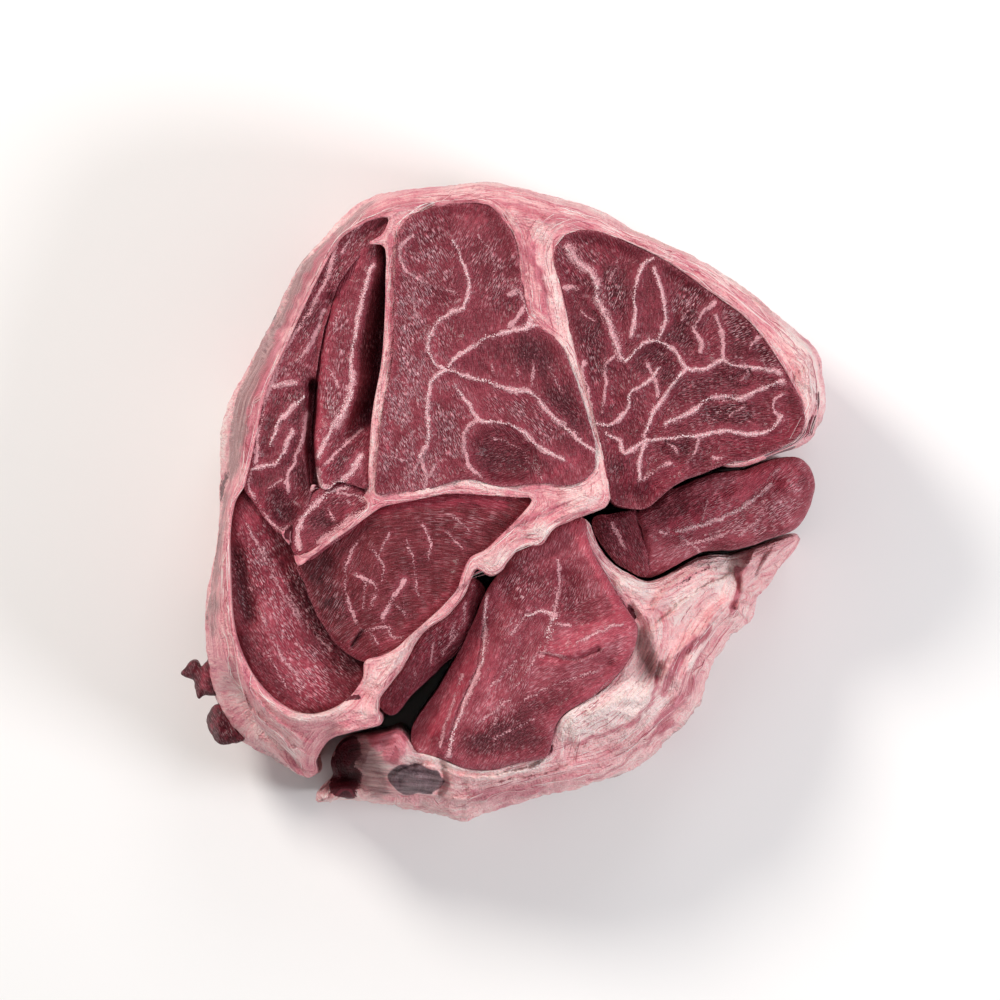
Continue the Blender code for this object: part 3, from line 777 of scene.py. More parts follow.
# Muscles: seams are (width, points), the strokes are (amount, reach, points), directions are (x, y, degrees)
muscleCentre = {
    "node": "muscle_centre", "level": centreLevel, "rim": (1.4, 0.1), "groove": (1.7, 1.2),
    "seams": [
        (1.0, [(-12.3, 65.5), (-10.8, 62), (-10, 59.5), (-8.7, 56.5), (-8.3, 53), (-9.5, 48)]),
        (1.2, [(-9.5, 48), (-13, 46.7), (-16, 44.5), (-18.5, 40), (-18, 37), (-16.5, 34), (-14, 32.5)]),
        (1.5, [(-14, 32.5), (-10, 31.3), (-5, 30), (0, 28.2), (4, 27.3), (7, 27), (9.5, 24.5), (12, 21.5),
            (15.5, 18.5), (20, 14.5), (23, 12.5)]),
        (1.2, [(-14, 32.5), (-17.5, 30), (-18.3, 27), (-18.5, 20), (-18.5, 15), (-20.5, 10.5)]),
        (1.1, [(-12, 29), (-10, 26), (-8, 23.5), (-6, 20.5), (-4, 19.5), (0, 19.3), (4, 18), (8, 14.5),
            (12, 11.5), (15.5, 10)]),
        (0.9, [(-6, 20), (-8.5, 18), (-9.7, 15), (-9.5, 12), (-8, 8.5), (-5.5, 5.5)]),
        (0.4, [(-2, 15.5), (4, 13), (10, 5)]),
        (1.1, [(9, 44), (5, 42.8), (0, 41.7), (-4, 40.3), (-8, 38), (-11, 36), (-13.5, 33.5)]),
        (0.8, [(-22.5, 66), (-24.5, 64.5), (-25.5, 62.5), (-24.5, 58), (-23, 56.5), (-20, 54.8), (-12, 52)]),
        (0.9, [(2, 51.5), (4, 52), (5.8, 49), (4.5, 46.5), (2, 43.5)]),
        (0.6, [(-23.5, 51.5), (-22, 49), (-21, 45)]), (0.7, [(-30, 11), (-27, 10.8), (-25, 10)]),
        (0.9, [(-20.5, 10.5), (-19.5, 8), (-18.5, 6), (-16.5, 8.5)]), (0.8, [(-18.5, 6), (-20, 1.5)]),
        (0.6, [(-24.5, 5), (-21, 9)]), (0.4, [(7.5, 29), (8, 34)]), (0.4, [(-2, 31), (-2.5, 34)]),
        (0.3, [(4, 31), (3, 35)]), (0.3, [(-6, 66), (-3, 62), (-2, 57)]), (0.3, [(12, 33), (15, 27)]),
        (0.3, [(-26, 30), (-22, 27)]), (2.2, [(9.5, 49), (7.5, 45.5), (6, 43)]),
    ],
    "relief": [
        (1.0, 10, [(-12, 40), (-4, 37), (4, 39)]), (0.8, 9, [(-16, 71), (-6, 70)]),
        (0.8, 7, [(-23, 50), (-23, 25)]), (1.0, 6, [(14, 31), (18, 22)]), (-0.9, 5, [(1, 49), (-1, 47)]),
    ],
    "rose": [
        (0.3, 7, [(-13, 41), (-4, 36), (3, 38)]), (0.7, 2.5, [(-16, 44), (-17.5, 40), (-16, 34)]),
        (0.4, 3, [(13, 31), (18, 22), (22, 14)]), (0.6, 3, [(20, 11), (10, 5)]),
        (0.4, 7, [(-22, 72), (-6, 72)]), (0.5, 3, [(-27, 60), (-27.5, 40), (-29, 12)]),
    ],
    "toneAndShading": [
        (-0.2, 9, [(-12, 42), (-2, 36), (6, 38)]), (-0.7, 9, [(15, 26), (20, 16)]),
        (-0.9, 6, [(2, 49), (6, 46)]), (-1.4, 6, [(7, 37), (10, 34)]), (-1.3, 8, [(-3, 11), (5, 11)]),
        (-0.8, 5, [(14, 27), (17, 20)]), (0.5, 12, [(-24, 40), (-24, 14)]),
    ],
    "glint": [
        (1.0, 14, [(-20, 62), (-22, 45), (-24, 25), (-22, 8)]), (0.7, 9, [(-4, 60), (1, 54)]),
        (0.9, 7, [(-13, 24), (-13, 12)]), (0.8, 7, [(2, 24), (8, 21), (12, 16)]),
    ],
    "directions": [
        (-22, 60, 118), (-24, 30, 112), (-22, 10, 115), (-3, 60, 66), (2, 37, 95), (8, 32, 105),
        (-12, 18, 112), (6, 20, 130), (0, 10, 20), (14, 9, 100),
    ],
}
muscleRight = {
    "node": "muscle_right", "level": rightLevel, "rim": (1.4, 0.1), "groove": (3.0, 1.4),
    "seams": [
        (2.4, [(16.5, 63), (18.5, 60), (22, 57), (23.5, 54), (24, 50), (26, 46), (27.5, 42), (29.5, 36),
            (31, 34.5)]),
        (1.2, [(31, 34.5), (34, 38), (36.5, 39.5), (39, 40), (42, 38.3), (44.5, 35.5), (46, 33), (49, 32.5),
            (52, 33.3), (55, 35), (58, 33.7), (66, 32.5), (69.5, 31.5)]),
        (1.0, [(39, 40), (40, 42.5), (41, 46), (40, 52), (38, 58)]),
        (1.0, [(37.5, 60.5), (35, 58.5), (33.8, 55), (33, 50), (33.3, 46), (32.5, 41)]),
        (0.9, [(55, 35), (55.2, 40), (54.5, 43), (53.5, 46)]),
        (0.9, [(53, 49.5), (50.5, 47), (48.5, 44), (48.3, 42), (49.8, 39.5), (49.5, 37)]),
        (1.1, [(46, 33), (44, 30.5), (41.5, 27), (39, 23.5), (37, 20), (35.7, 16)]),
        (1.6, [(70, 29.5), (66, 28.3), (62, 26.5), (60, 25.5), (56, 25.7), (52, 25.5), (50, 24.5),
            (48, 22.5), (45, 21), (41, 19)]),
        (1.1, [(36, 15), (40, 15.3), (45, 15.8), (49, 16), (53, 16.8), (56, 17.5), (59, 16.7), (63, 16.5),
            (66, 17), (69, 19), (70, 21)]), (0.8, [(49, 15.5), (48, 11), (46, 9.5)]),
        (0.8, [(70, 21), (68, 22.5), (68.3, 25), (70, 26.5)]),
        (1.2, [(36, 15), (33, 13), (30.5, 12), (29, 15), (26, 17)]), (1.0, [(36, 15), (34.5, 10), (34.5, 5)]),
        (0.9, [(28, 36), (26, 34), (25.5, 32), (26, 29), (25, 22)]),
        (1.0, [(39.5, 33), (37, 30), (34, 28), (32, 26.5), (31.5, 23), (29, 20), (26.5, 18.8), (23.5, 19)]),
        (0.8, [(20.5, 35), (20.3, 31), (21.5, 27), (22.5, 22)]), (0.8, [(36.5, 34), (38, 31), (39, 26)]),
        (0.9, [(15.5, 53), (19, 52.8)]), (0.8, [(62, 38), (63.5, 40), (65, 41)]),
        (0.8, [(53, 10.5), (55, 10.5)]), (0.8, [(35.5, 5), (38.5, 7.5), (42, 9)]),
        (0.4, [(45, 45), (47, 50)]), (0.4, [(60, 30), (62, 33)]), (0.4, [(27, 55), (29, 60)]),
        (0.4, [(57, 21), (60, 23)]), (0.4, [(44, 12), (41, 15)]), (0.4, [(20, 47), (23, 45)]),
    ],
    "relief": [
        (1.2, 6, [(37, 45), (36, 55)]), (1.2, 6, [(60, 40)]), (1.2, 5, [(47, 47)]), (1.0, 5, [(60, 21)]),
        (1.3, 5, [(42, 30)]), (1.4, 5, [(31, 9), (31, 3)]), (1.4, 5, [(41, 4), (46, 8)]),
        (0.9, 4, [(36, 24)]), (-1.2, 1.6, [(49, 24.4), (53, 25), (58, 25.3)]),
    ],
    "rose": [
        (0.9, 5, [(38, 2), (45, 8)]), (0.7, 5, [(28, 14), (32, 5)]), (0.8, 4, [(66, 15), (73, 18)]),
        (0.5, 7, [(18, 58), (28, 63)]), (0.6, 5, [(25, 27), (30, 22)]), (0.5, 6, [(55, 13), (62, 14)]),
        (0.5, 5, [(51, 41), (52, 36)]), (0.4, 5, [(60, 30), (68, 27)]),
    ],
    "toneAndShading": [
        (-0.2, 7, [(36, 45), (37, 56)]), (-1.6, 6, [(38, 36), (42, 32)]), (-1.1, 5, [(47, 44), (44, 40)]),
        (-1.0, 5, [(28, 50), (27, 56)]), (-0.9, 5, [(24, 34), (22, 44)]), (-0.9, 4, [(52, 22), (60, 21)]),
        (-0.8, 5, [(58, 30), (50, 29)]), (-0.7, 5, [(26, 8), (32, 10)]), (-0.5, 6, [(62, 44), (68, 38)]),
        (-0.8, 4, [(48, 12), (44, 13)]),
    ],
    "glint": [
        (0.9, 7, [(18, 62), (28, 50)]), (0.9, 6, [(50, 52), (46, 48)]), (0.9, 7, [(58, 46), (67, 38)]),
        (0.3, 30, [(45, 30)]), (0.7, 5, [(22, 40), (25, 32)]), (0.8, 4, [(54, 21), (60, 22)]),
        (0.6, 4, [(28, 10)]), (0.7, 5, [(70, 33), (62, 34)]), (-0.5, 5, [(36, 46), (37, 54)]),
    ],
    "directions": [
        (20, 60, 120), (28, 52, 70), (37, 50, 95), (46, 48, 60), (60, 38, 25), (52, 29, 10), (62, 21, 5),
        (45, 10, 20), (30, 25, 110), (40, 33, 50), (22, 30, 108), (30, 5, 80),
    ],
}
lensGap = [
    (-43, 50.2), (-45.3, 44.4), (-46.5, 38.7), (-47.5, 29), (-47.7, 22.4), (-48.2, 15.3), (-47.9, 11.4),
    (-47, 4.7), (-46, 1.9),
]
muscleOuter = {
    "node": "muscle_outer", "level": outerLevel, "rim": (1.2, 0.2), "groove": (1.6, 1.2),
    "seams": [
        (0.9, [(-41.2, 64.7), (-44.6, 54), (-49.4, 45.4), (-52.2, 41.5), (-55.1, 36.3), (-57.7, 29.1),
            (-59.2, 25.3), (-60.8, 16.7), (-61.8, 9.5)]), (1.5, [(-58, 28.5), (-55, 29), (-52, 29.5)]),
        (1.0, [(-49.8, 26.2), (-53.7, 22), (-56, 19), (-58, 13.8)]),
        (1.1, [(-52.7, 17.2), (-54.1, 13.3), (-56.5, 9.5), (-62.7, 7.6)]),
        (0.8, [(-48.9, 21.5), (-49.8, 15.7), (-52.2, 9.5), (-53.7, 6.6), (-53.7, 2)]),
        (0.9, [(-44.6, 47.8), (-46.5, 42), (-48.9, 37.7), (-51.3, 34.8)]),
        (0.6, [(-34.5, 70), (-37, 67), (-40, 62)]),
        (0.6, [(-63, 7), (-63.5, 4), (-61.8, 0), (-59.5, -3.4), (-57, -6.5)]),
        (0.7, [(-57.3, -6.2), (-54.9, -7.5), (-52, -6.8)]), (0.4, [(-58.5, 3), (-55, 5)]),
    ],
    "relief": [
        (-9, 2.0, lensGap[3:]), (-3, 2.5, lensGap[:4]), (-2.0, 5, [(-55, -1), (-54.5, -4)]),
        (-1.5, 4, [(-52, 12), (-51, 2)]), (-8, 2.5, [(-52, -8.5), (-51.5, -11)]),
    ],
    # the tone strokes of -1.4, -2.0 and -1.6 paint shade beside the deep gap and in the pockets and trough
    # that the relief sinks
    "toneAndShading": [
        (-0.5, 5, [(-56, 24), (-59, 14)]), (-1.4, 4, [(-50.5, 30), (-51, 20), (-53, 8)]),
        (-2.0, 5, [(-55, 0), (-54.5, -4)]), (-0.6, 5, [(-40, 62), (-50, 44)]),
        (-1.6, 4, [(-50, 8), (-48, 2)]),
    ],
    "rose": [(0.6, 4, [(-62, 2), (-60, -2)]), (0.5, 3, [(-57, 30), (-60, 20)])],
    "glint": [(0.6, 8, [(-38, 64), (-48, 48), (-54, 30)]), (0.5, 4, [(-49, 0), (-52, 2)])],
    "directions": [(-42, 58, 62), (-50, 40, 66), (-54, 25, 75), (-57, 8, 82), (-54, -4, 60)],
}
muscleLens = {
    "node": "muscle_lens", "level": lensLevel, "rim": (1.4, 0.5), "groove": (0.3, 1.0),
    "seams": [
        (1.3, lensCrest), (2.6, [(-37.6, 32), (-38, 27.5), (-39.5, 22.5), (-41.5, 18.5)]),
        (1.9, [(-46.5, 7), (-45.5, 3.5), (-43, 3), (-40, 5), (-37.4, 7.5), (-35, 11.4)]),
        (0.7, [(-35, 18), (-39.5, 14), (-44, 9)]), (0.8, [(-43.5, 33), (-42.5, 31), (-41, 28.5)]),
        (0.4, [(-41, 47), (-42, 42)]), (0.7, [(-32.8, 19), (-31.5, 22)]), (0.5, [(-33, 14), (-32, 4)]),
    ],
    "relief": [(-9, 1.8, lensGap[3:]), (-2.5, 2.5, lensGap[:4])],
    # the lighter stroke left of the crest is painted light on its lit flank; the two dark strokes right of
    # the crest paint the shade of the fissure
    "toneAndShading": [
        (0.5, 5, [(-38, 52), (-42, 40), (-43, 28), (-46, 14)]),
        (-2.2, 6, [(-30.5, 60), (-31, 40), (-33, 22)]), (-1.2, 3, [(-33, 50), (-34.5, 38), (-35.5, 26)]),
        (-1.0, 4, [(-40, 12), (-42, 8)]),
    ],
    "rose": [
        (1.3, 4.5, [(-36, 62), (-41, 54), (-44.5, 44), (-46.3, 34), (-46.8, 24), (-47, 14), (-46, 6)]),
        (0.5, 4, [(-38, 10), (-44, 6)]),
    ],
    "glint": [
        (0.9, 5, [(-40, 44), (-42, 30), (-44, 18)]), (0.4, 8, [(-38, 15), (-40, 8)]), (0.4, 5, [(-32, 40)]),
    ],
    "directions": [(-40, 50, 75), (-42, 30, 85), (-40, 12, 60), (-32, 45, 92), (-33, 25, 88)],
}
muscleCorner = {
    "node": "muscle_corner", "level": cornerLevel, "grow": 2.3, "rim": (1.4, 1.0), "groove": (0.2, 1.0),
    "seams": [
        (1.5, [(-39, 3), (-42, 2.5), (-45.1, 0.7), (-47.5, -1.7), (-50, -5), (-51.4, -8.5), (-50.8, -12)]),
        (2.6, [(-45.5, -10.5), (-41, -7.6), (-36.9, -4), (-32.8, -1)]),
        (0.6, [(-41, 1.8), (-36.9, 1), (-34, -0.5)]), (0.4, [(-43.5, -2), (-42, -5)]),
    ],
    "toneAndShading": [(-1.8, 5, [(-46, -5), (-44, -8)]), (0.5, 3, [(-38, -2)])],
    "rose": [(0.7, 3, [(-40, -4), (-36, -1)])], "glint": [(0.8, 4, [(-41, 0), (-38, -1)])],
    "directions": [(-42, -4, 35)],
}
muscleMiddle = {
    "node": "muscle_middle", "level": middleLevel, "rim": (2.4, 1.0), "groove": (0.4, 0.8),
    "seams": [
        (0.7, [(-36.5, -19), (-32.5, -21), (-31.5, -23), (-33, -27)]),
        (0.9, [(-24.5, -20), (-26.5, -23.5), (-30, -29.5)]),
        (0.7, [(-38, -27.5), (-35, -32.5), (-31, -32), (-28.5, -32), (-27.5, -34), (-25, -34.5)]),
        (0.5, [(-33, -12), (-30, -16), (-30, -20)]),
        (0.4, [(-36, -10), (-39, -16), (-39, -24), (-36.5, -31)]), (0.4, [(-28, -8), (-31, -14)]),
        (0.4, [(-14, -8), (-10, -12)]), (0.4, [(-20, -6), (-18, -10), (-18.5, -15)]),
        (0.3, [(-24, -10), (-22, -16), (-21, -24)]), (0.3, [(-12, -4), (-8, -8)]),
        (0.3, [(-34, -20), (-35, -27)]), (0.3, [(-27, -26), (-24, -29)]), (0.4, [(-31, -36), (-33, -33)]),
    ],
    "relief": [
        (-0.8, 4, [(-44, -16), (-40, -22), (-37, -34)]), (-1.2, 0.9, [(-35, -33), (-37.5, -36.5)]),
        (-1.5, 1.5, [(-40, -7), (-35, -3), (-29, -0.5)]),
    ],
    # the two strokes of -1.5 paint shade into the crease and the groove that the relief cuts
    "toneAndShading": [
        (-0.9, 9, [(-46, -18), (-42, -26)]), (-0.2, 14, [(-20, -14)]),
        (-1.5, 1.0, [(-35, -33), (-37.5, -36.5)]), (0.4, 3, [(-30, -37), (-24, -33), (-14, -24), (-9, -16)]),
        (-1.5, 1.6, [(-40, -7), (-35, -3), (-29, -0.5)]),
    ],
    "rose": [
        (0.8, 3.5, [(-50, -13), (-40, -8), (-30, -2), (-13, 0), (0, -1)]), (0.5, 4, [(-40, -37), (-33, -40)]),
        (0.5, 3, [(-30, -37), (-22, -31), (-12, -22), (-9, -17)]),
    ],
    "glint": [(0.4, 8, [(-8, -5), (-14, -4)]), (0.3, 6, [(-44, -24), (-40, -30)])],
    "directions": [(-20, -14, "arcs", -18, -62), (-42, -20, 60), (-30, -30, "arcs", -18, -62)],
}
muscleSide = {
    "node": "muscle_side", "level": sideLevel, "rim": (2.6, 1.6), "groove": (0.3, 0.8),
    "seams": [
        (0.4, [(-60, -12), (-56, -22), (-50, -32)]), (0.4, [(-63, -22), (-59, -32), (-53, -43)]),
        (0.5, [(-54, -24), (-50, -30), (-43, -38)]), (0.4, [(-56, -38), (-50, -46)]),
        (0.4, [(-64, -6), (-60, -14), (-57, -20)]), (0.3, [(-57, -16), (-52, -25)]),
        (0.3, [(-52, -36), (-46, -42)]), (0.3, [(-60, -36), (-54, -47)]),
    ],
    "relief": [(-3.0, 4, [(-67, -14), (-65, -24), (-63.5, -29)])],
    # the first tone stroke paints shade into the pocket that the relief sinks; the next two paint the shadow
    # cast by the middle muscle, where the face also falls away
    "toneAndShading": [
        (-1.6, 4, [(-67, -14), (-65, -24), (-63.5, -29)]), (-1.6, 6, [(-50, -22), (-44, -32), (-38, -40)]),
        (-1.0, 3.5, [(-49, -19), (-45, -29), (-40, -36)]), (0.5, 9, [(-58, -30), (-50, -44)]),
        (-0.6, 5, [(-64, -36), (-56, -48)]),
    ],
    "rose": [(0.7, 10, [(-62, -6), (-58, -20), (-54, -36), (-46, -48)])],
    "glint": [(0.9, 12, [(-60, -14), (-54, -30), (-46, -42)]), (0.6, 8, [(-50, -48)])],
    "directions": [(-60, -12, 118), (-56, -30, 122), (-46, -44, 138)],
}
muscleInner = {
    "node": "muscle_inner", "level": innerLevel, "rim": (1.6, 1.2), "groove": (0.5, 1.0),
    "seams": [
        (0.5, [(-12, -31), (-13, -35)]), (0.5, [(-17, -36), (-18, -41)]), (0.5, [(-22, -43), (-22, -47)]),
        (0.6, [(-9, -26), (-10, -31), (-15, -39)]),
    ],
    "toneAndShading": [(-0.7, 8, [(-15, -36), (-25, -48)])], "rose": [(0.5, 6, [(-10, -28), (-20, -40)])],
    "glint": [(0.4, 10, [(-15, -35)])], "directions": [(-14, -33, 50), (-24, -46, 62)],
}
muscleLower = {
    "node": "muscle_lower", "level": lowerLevel, "rim": (2.4, 1.6), "groove": (0.5, 1.2),
    "seams": [
        (1.3, [(-4, -24), (-5, -40), (-9, -50), (-12, -58), (-13.5, -64)]),
        (1.0, [(6, -29), (10, -28), (12.5, -28.5)]), (2.4, [(12.8, -28.5), (12, -31), (11.5, -35)]),
        (0.8, [(11.5, -35), (10, -39)]), (0.6, [(13, -27.5), (14.5, -22), (14, -15)]),
        (0.6, [(12, -31), (17, -31.5)]), (0.5, [(10, -36), (7, -42), (4, -46)]), (0.5, [(2, -34), (6, -29)]),
        (0.5, [(30, -31), (24, -33), (19, -36)]), (0.5, [(10, -38), (20, -40), (26, -37)]),
        (0.4, [(0, -50), (-2, -57)]), (0.6, [(-10, -44), (-14, -56), (-15.5, -62)]),
        (0.4, [(2, -52), (14, -46), (24, -43)]), (0.4, [(-6, -56), (2, -50)]), (0.3, [(-2, -60), (8, -55)]),
        (0.4, [(-3, -47), (4, -40)]), (0.3, [(22, -50), (28, -44)]),
    ],
    "relief": [
        (-2.4, 5, [(16, -20), (20, -26)]), (2.4, 7, [(14, -39), (24, -35), (31, -32)]),
        (-1.4, 4, [(6, -35), (2, -44)]), (-1.6, 1.2, [(10, -39), (17, -40), (24, -37.5)]),
        (1.2, 5, [(4, -18), (6, -26)]), (-1.0, 4, [(-8, -46), (-13, -58)]),
    ],
    "lips": [(1.6, 2.0, [(-14.5, -62), (-11, -52), (-6.5, -42), (-5, -32), (-3.5, -24)])],
    # the first stroke, on the raised bulge, is painted light
    "toneAndShading": [
        (0.2, 8, [(14, -40), (24, -37), (31, -34)]), (-0.9, 6, [(16, -48), (2, -56), (-4, -60)]),
        (-0.8, 9, [(4, -17), (9, -24), (16, -22)]), (-0.7, 5, [(20, -30), (16, -22)]),
        (-1.0, 4, [(-16, -60), (-14, -64)]), (-1.2, 6, [(-1, -58), (8, -60), (-8, -62)]),
    ],
    "rose": [
        (1.2, 6, [(12, -39), (22, -34), (31, -31)]), (0.9, 4, [(-7, -36), (-12, -50), (-17, -58)]),
        (0.8, 4, [(33, -36), (26, -46), (14, -54)]), (0.5, 6, [(-2, -40), (-4, -56)]),
        (1.3, 3.5, [(19, -7), (23, -14), (28, -23), (32, -31)]),
    ],
    "glint": [
        (0.7, 8, [(5, -18), (3, -28)]), (0.4, 8, [(18, -25), (14, -20)]), (0.3, 12, [(-4, -56), (6, -44)]),
    ],
    "directions": [(14, -14, 70), (6, -26, 62), (0, -46, 66), (20, -38, 25), (-10, -50, 60), (12, -50, 32)],
}
muscleHollowLeft = {
    "node": "muscle_hollow_left", "level": hollowLeftLevel, "rim": (2.0, 1.6), "groove": (0.5, 1.0),
    # the dark tone stroke is painted shadow under the right muscle's edge
    "seams": [(0.6, [(28, -6), (31, -12)])], "toneAndShading": [(-1.4, 8, [(27, -6)]), (0.2, 5, [(33, -15)])],
    "rose": [(0.3, 6, [(33, -16)])], "glint": [(0.2, 8, [(30, -12)])], "directions": [(30, -10, 120)],
}
muscleHollowRight = {
    "node": "muscle_hollow_right", "level": hollowRightLevel, "rim": (2.6, 2.2), "groove": (0.8, 1.2),
    "seams": [
        (1.2, [(44, -8), (50, -6.5), (56, -4.5), (62, -1), (68, 4)]), (0.5, [(50, -6.5), (52, 0)]),
        (0.5, [(60, -9), (66, -4)]), (0.5, [(44, -12), (52, -10), (58, -8)]),
        (0.6, [(40, -8), (46, -10), (50, -13)]), (0.4, [(64, 2), (70, 8)]),
    ],
    "relief": [(-1.5, 4, [(44, -8), (56, -4.5), (68, 4)]), (1.0, 5, [(64, -4), (72, 2)])],
    # the first stroke is painted shadow under the right muscle's edge, and the last paints the shade of the
    # gap under the flap's curled edge
    "toneAndShading": [
        (-1.2, 8, [(40, -3), (48, -1)]), (-0.3, 6, [(56, -9), (68, -4)]),
        (-0.8, 4, [(54, -12), (62, -12), (70, -8)]),
    ],
    "rose": [(1.2, 6, [(50, -3), (58, 0), (64, 5), (72, 6)]), (1.3, 4, [(44, -7), (50, -5), (56, -3)])],
    "glint": [(0.6, 10, [(50, -8), (58, -3)]), (0.7, 8, [(64, -6), (72, 2)])],
    "directions": [(45, -10, 30), (60, -6, 24), (72, 0, 35)],
}
muscles = [
    muscleCentre, muscleRight, muscleOuter, muscleLens, muscleCorner, muscleMiddle, muscleSide, muscleInner,
    muscleLower, muscleHollowLeft, muscleHollowRight,
]
finishes = {  # what differs from the common lean finish
    "muscle_centre": {"level": -0.14, "lift": 0.22, "strandGlintPatch": 3.6},
    "muscle_right": {"level": -0.24, "lift": 0.0, "strandGlintPatch": 3.4},
    "muscle_hollow_right": {"level": 0.12},
    "muscle_middle": {
        "grain": {**leanFinish["grain"], "strand": (0.24, 3.4, 0), "paintedGlint": (0.18, 2.2, 0)},
        "level": -0.15, "strandCalm": 0.6, "strandGlintPatch": 1.0, "specular": 0.22,
        "colours": ("#30090f", "#541a20", "#70272e", "#8c3b43", "#c07f87"),
    },
    "muscle_side": {"level": -0.13, "lift": 0.06, "strandCalm": 0.45, "strandGlintPatch": 2.0},
    "muscle_lower": {"level": 0.06, "lift": 0.1, "strandCalm": 0.5, "strandGlintPatch": 1.8},
    "muscle_inner": {"level": -0.12},
}
muscleShape = {
    "outline": 0.38,  # between points along an edge
    "face": 0.34,  # between points of the cut face
    "under": 1.6,
    "grow": 0.6,  # closes the gap that the solids keep
    "levels": 26,
    "wobble": 0.18,
    "wander": (0.45, 2.6),  # how far the seams stray from their lines, and over what length
    "bowl": 0.85,  # how far the lean sinks between seams, as a share of how far it rises to them
    "bowlEdge": 3.5,
    "swell": (1.0, 11),  # height and size
    "ripple": (0.16, 1.7),
    "foot": 1.2,  # how far the wall turns in at the foot
}


def seamField(points, spec, seed):
    # how much fat a seam shows, how pink the lean is beside it, and how far the lean rises to it
    bent = warped(points, *muscleShape["wander"], seed)
    away, which = nearness(bent, [line for _, line in spec["seams"]], 0.25)
    width = np.array([width for width, _ in spec["seams"]])[which]
    thick = width * np.clip(1 + 0.6 * rough(points, 4, 2, seed + 3), 0.35, 1.6)
    fading = np.clip(0.9 + 0.8 * rough(points, 7, 2, seed + 13), 0.4, 1.1)
    strength = np.clip(0.45 + 0.6 * width, 0.4, 1) * fading * np.clip(1 - away / (0.4 + 0.6 * thick), 0, 1)
    glow = 0.5 * np.exp(-(away / (0.6 + 0.5 * width)) ** 2) + 0.5 * np.exp(-away / (2.2 + width))
    halo = np.clip(0.2 + 0.7 * width, 0, 1) * fading * glow
    depth, reach = spec["groove"]
    return strength, halo, depth * np.clip(width, 0.3, 1) * np.exp(-np.hypot(away, 0.4) / (1.3 * reach))


def makeMuscle(spec, number):
    node = spec["node"]
    seed = 100 * (number + 1)
    shape = muscleShape
    loop = smoothLine(nodeOutline(node), shape["outline"], closed=True)
    push = spec.get("grow", shape["grow"]) + shape["wobble"] * rough(loop, 5, 2, seed)
    loop = loop + outward(loop, 2) * push[:, None]
    rimReach, rimDrop = spec["rim"]
    swellHeight, swellSize = shape["swell"]
    rippleHeight, rippleSize = shape["ripple"]

    def height(p):
        edge, _ = nearness(p, [loop], 0.3, closed=True)
        bowl = shape["bowl"] * spec["groove"][0] - seamField(p, spec, seed)[2]
        z = spec["level"](p) + paint(p, spec.get("relief", [])) + lips(p, spec.get("lips", []))
        z -= rimDrop * (1 - np.clip(edge / rimReach, 0, 1)) ** 2 + bowl * ease(edge, 0.3, shape["bowlEdge"])
        z += swellHeight * rough(p, swellSize, 2, seed + 7) + rippleHeight * rough(p, rippleSize, 2, seed + 9)
        return capped(z)

    top = height(loop)
    rings = []
    for share in np.linspace(0, 1, shape["levels"] + 1)[1:]:
        z = footLevel + (top - footLevel) * (1 - share**1.35)
        place = np.column_stack([loop, z])
        bulge = 0.5 * rough(place, 12, 2, seed + 4) * ease(share, 0, 0.15) * ease(1 - share, 0, 0.1)
        rings.append(np.column_stack([loop + outward(loop, 2) * bulge[:, None] * 0.6, z]))
    foot = loop - outward(loop, 3) * shape["foot"]
    rings.append(np.column_stack([foot, np.zeros(len(foot))]))
    spacings = shape["face"], shape["under"]
    body = closedBody([loop], [rings], height, *spacings, seed, spec["directions"])

    flat = body["points"][:, :2]
    seam, halo, _ = seamField(flat, spec, seed)
    edge, _ = nearness(flat, [loop], 0.3, closed=True)
    wall = body["kind"] == 1
    fields = {
        "seam": np.where(wall, 0, seam),
        "halo": np.where(wall, 0, halo),
        "edge": np.where(wall, 0, np.clip(1 - edge / 2, 0, 1)),
        "toneAndShading": np.where(wall, -0.5, paint(flat, spec["toneAndShading"])),
        "rose": np.where(wall, 0, paint(flat, spec["rose"])),
        "glint": np.where(wall, 0.1, 0.15 + paint(flat, spec["glint"])),
        "wall": wall,
    }
    finish = {**leanFinish, **finishes.get(node, {}), "name": "raw_lean_" + node}
    muscle = makePiece("lean_" + node, body, fields, rawLean(finish), [node], "lean")
    return muscle, seamLines(spec, height, seed)


# Beads of fat along the marbling, strewn over each seam and set down on the lean
beads = {
    "spacing": 0.17,  # along a seam
    "small": 0.08,  # radius
    "large": 0.24,
    "spread": 0.55,  # sideways, for a seam of width 1
    "thinnest": 0.95,  # seams below this width have no beads
    "seed": 3,
}


def seamLines(spec, height, seed):
    places, widths, edges = [], [], []
    for width, line in spec["seams"]:
        if width < beads["thinnest"]:
            continue
        fine = smoothLine(line, 0.5)
        fine = 2 * fine - warped(fine, *muscleShape["wander"], seed)
        edges += [(len(places) + i, len(places) + i + 1) for i in range(len(fine) - 1)]
        places += np.column_stack([fine - drawnCentre, height(fine)]).tolist()
        widths += [width] * len(fine)
    return np.array(places).reshape(-1, 3), edges, widths


def newTree(name, inputs):
    tree = bpy.data.node_groups.new(name, "GeometryNodeTree")
    for socket, kind in inputs:
        tree.interface.new_socket(socket, in_out="INPUT", socket_type="NodeSocket" + kind)
    tree.interface.new_socket("Result", in_out="OUTPUT", socket_type="NodeSocketGeometry")
    return tree, addNode(tree, "NodeGroupInput").outputs


def endTree(tree, geometry, finish):
    steps = (("RealizeInstances", {}), ("SetShadeSmooth", {}), ("SetMaterial", {"Material": finish}))
    for kind, inputs in steps:
        geometry = addNode(tree, "GeometryNode" + kind, {"Geometry": geometry, **inputs})
    addNode(tree, "NodeGroupOutput", {"Result": geometry})
    return tree


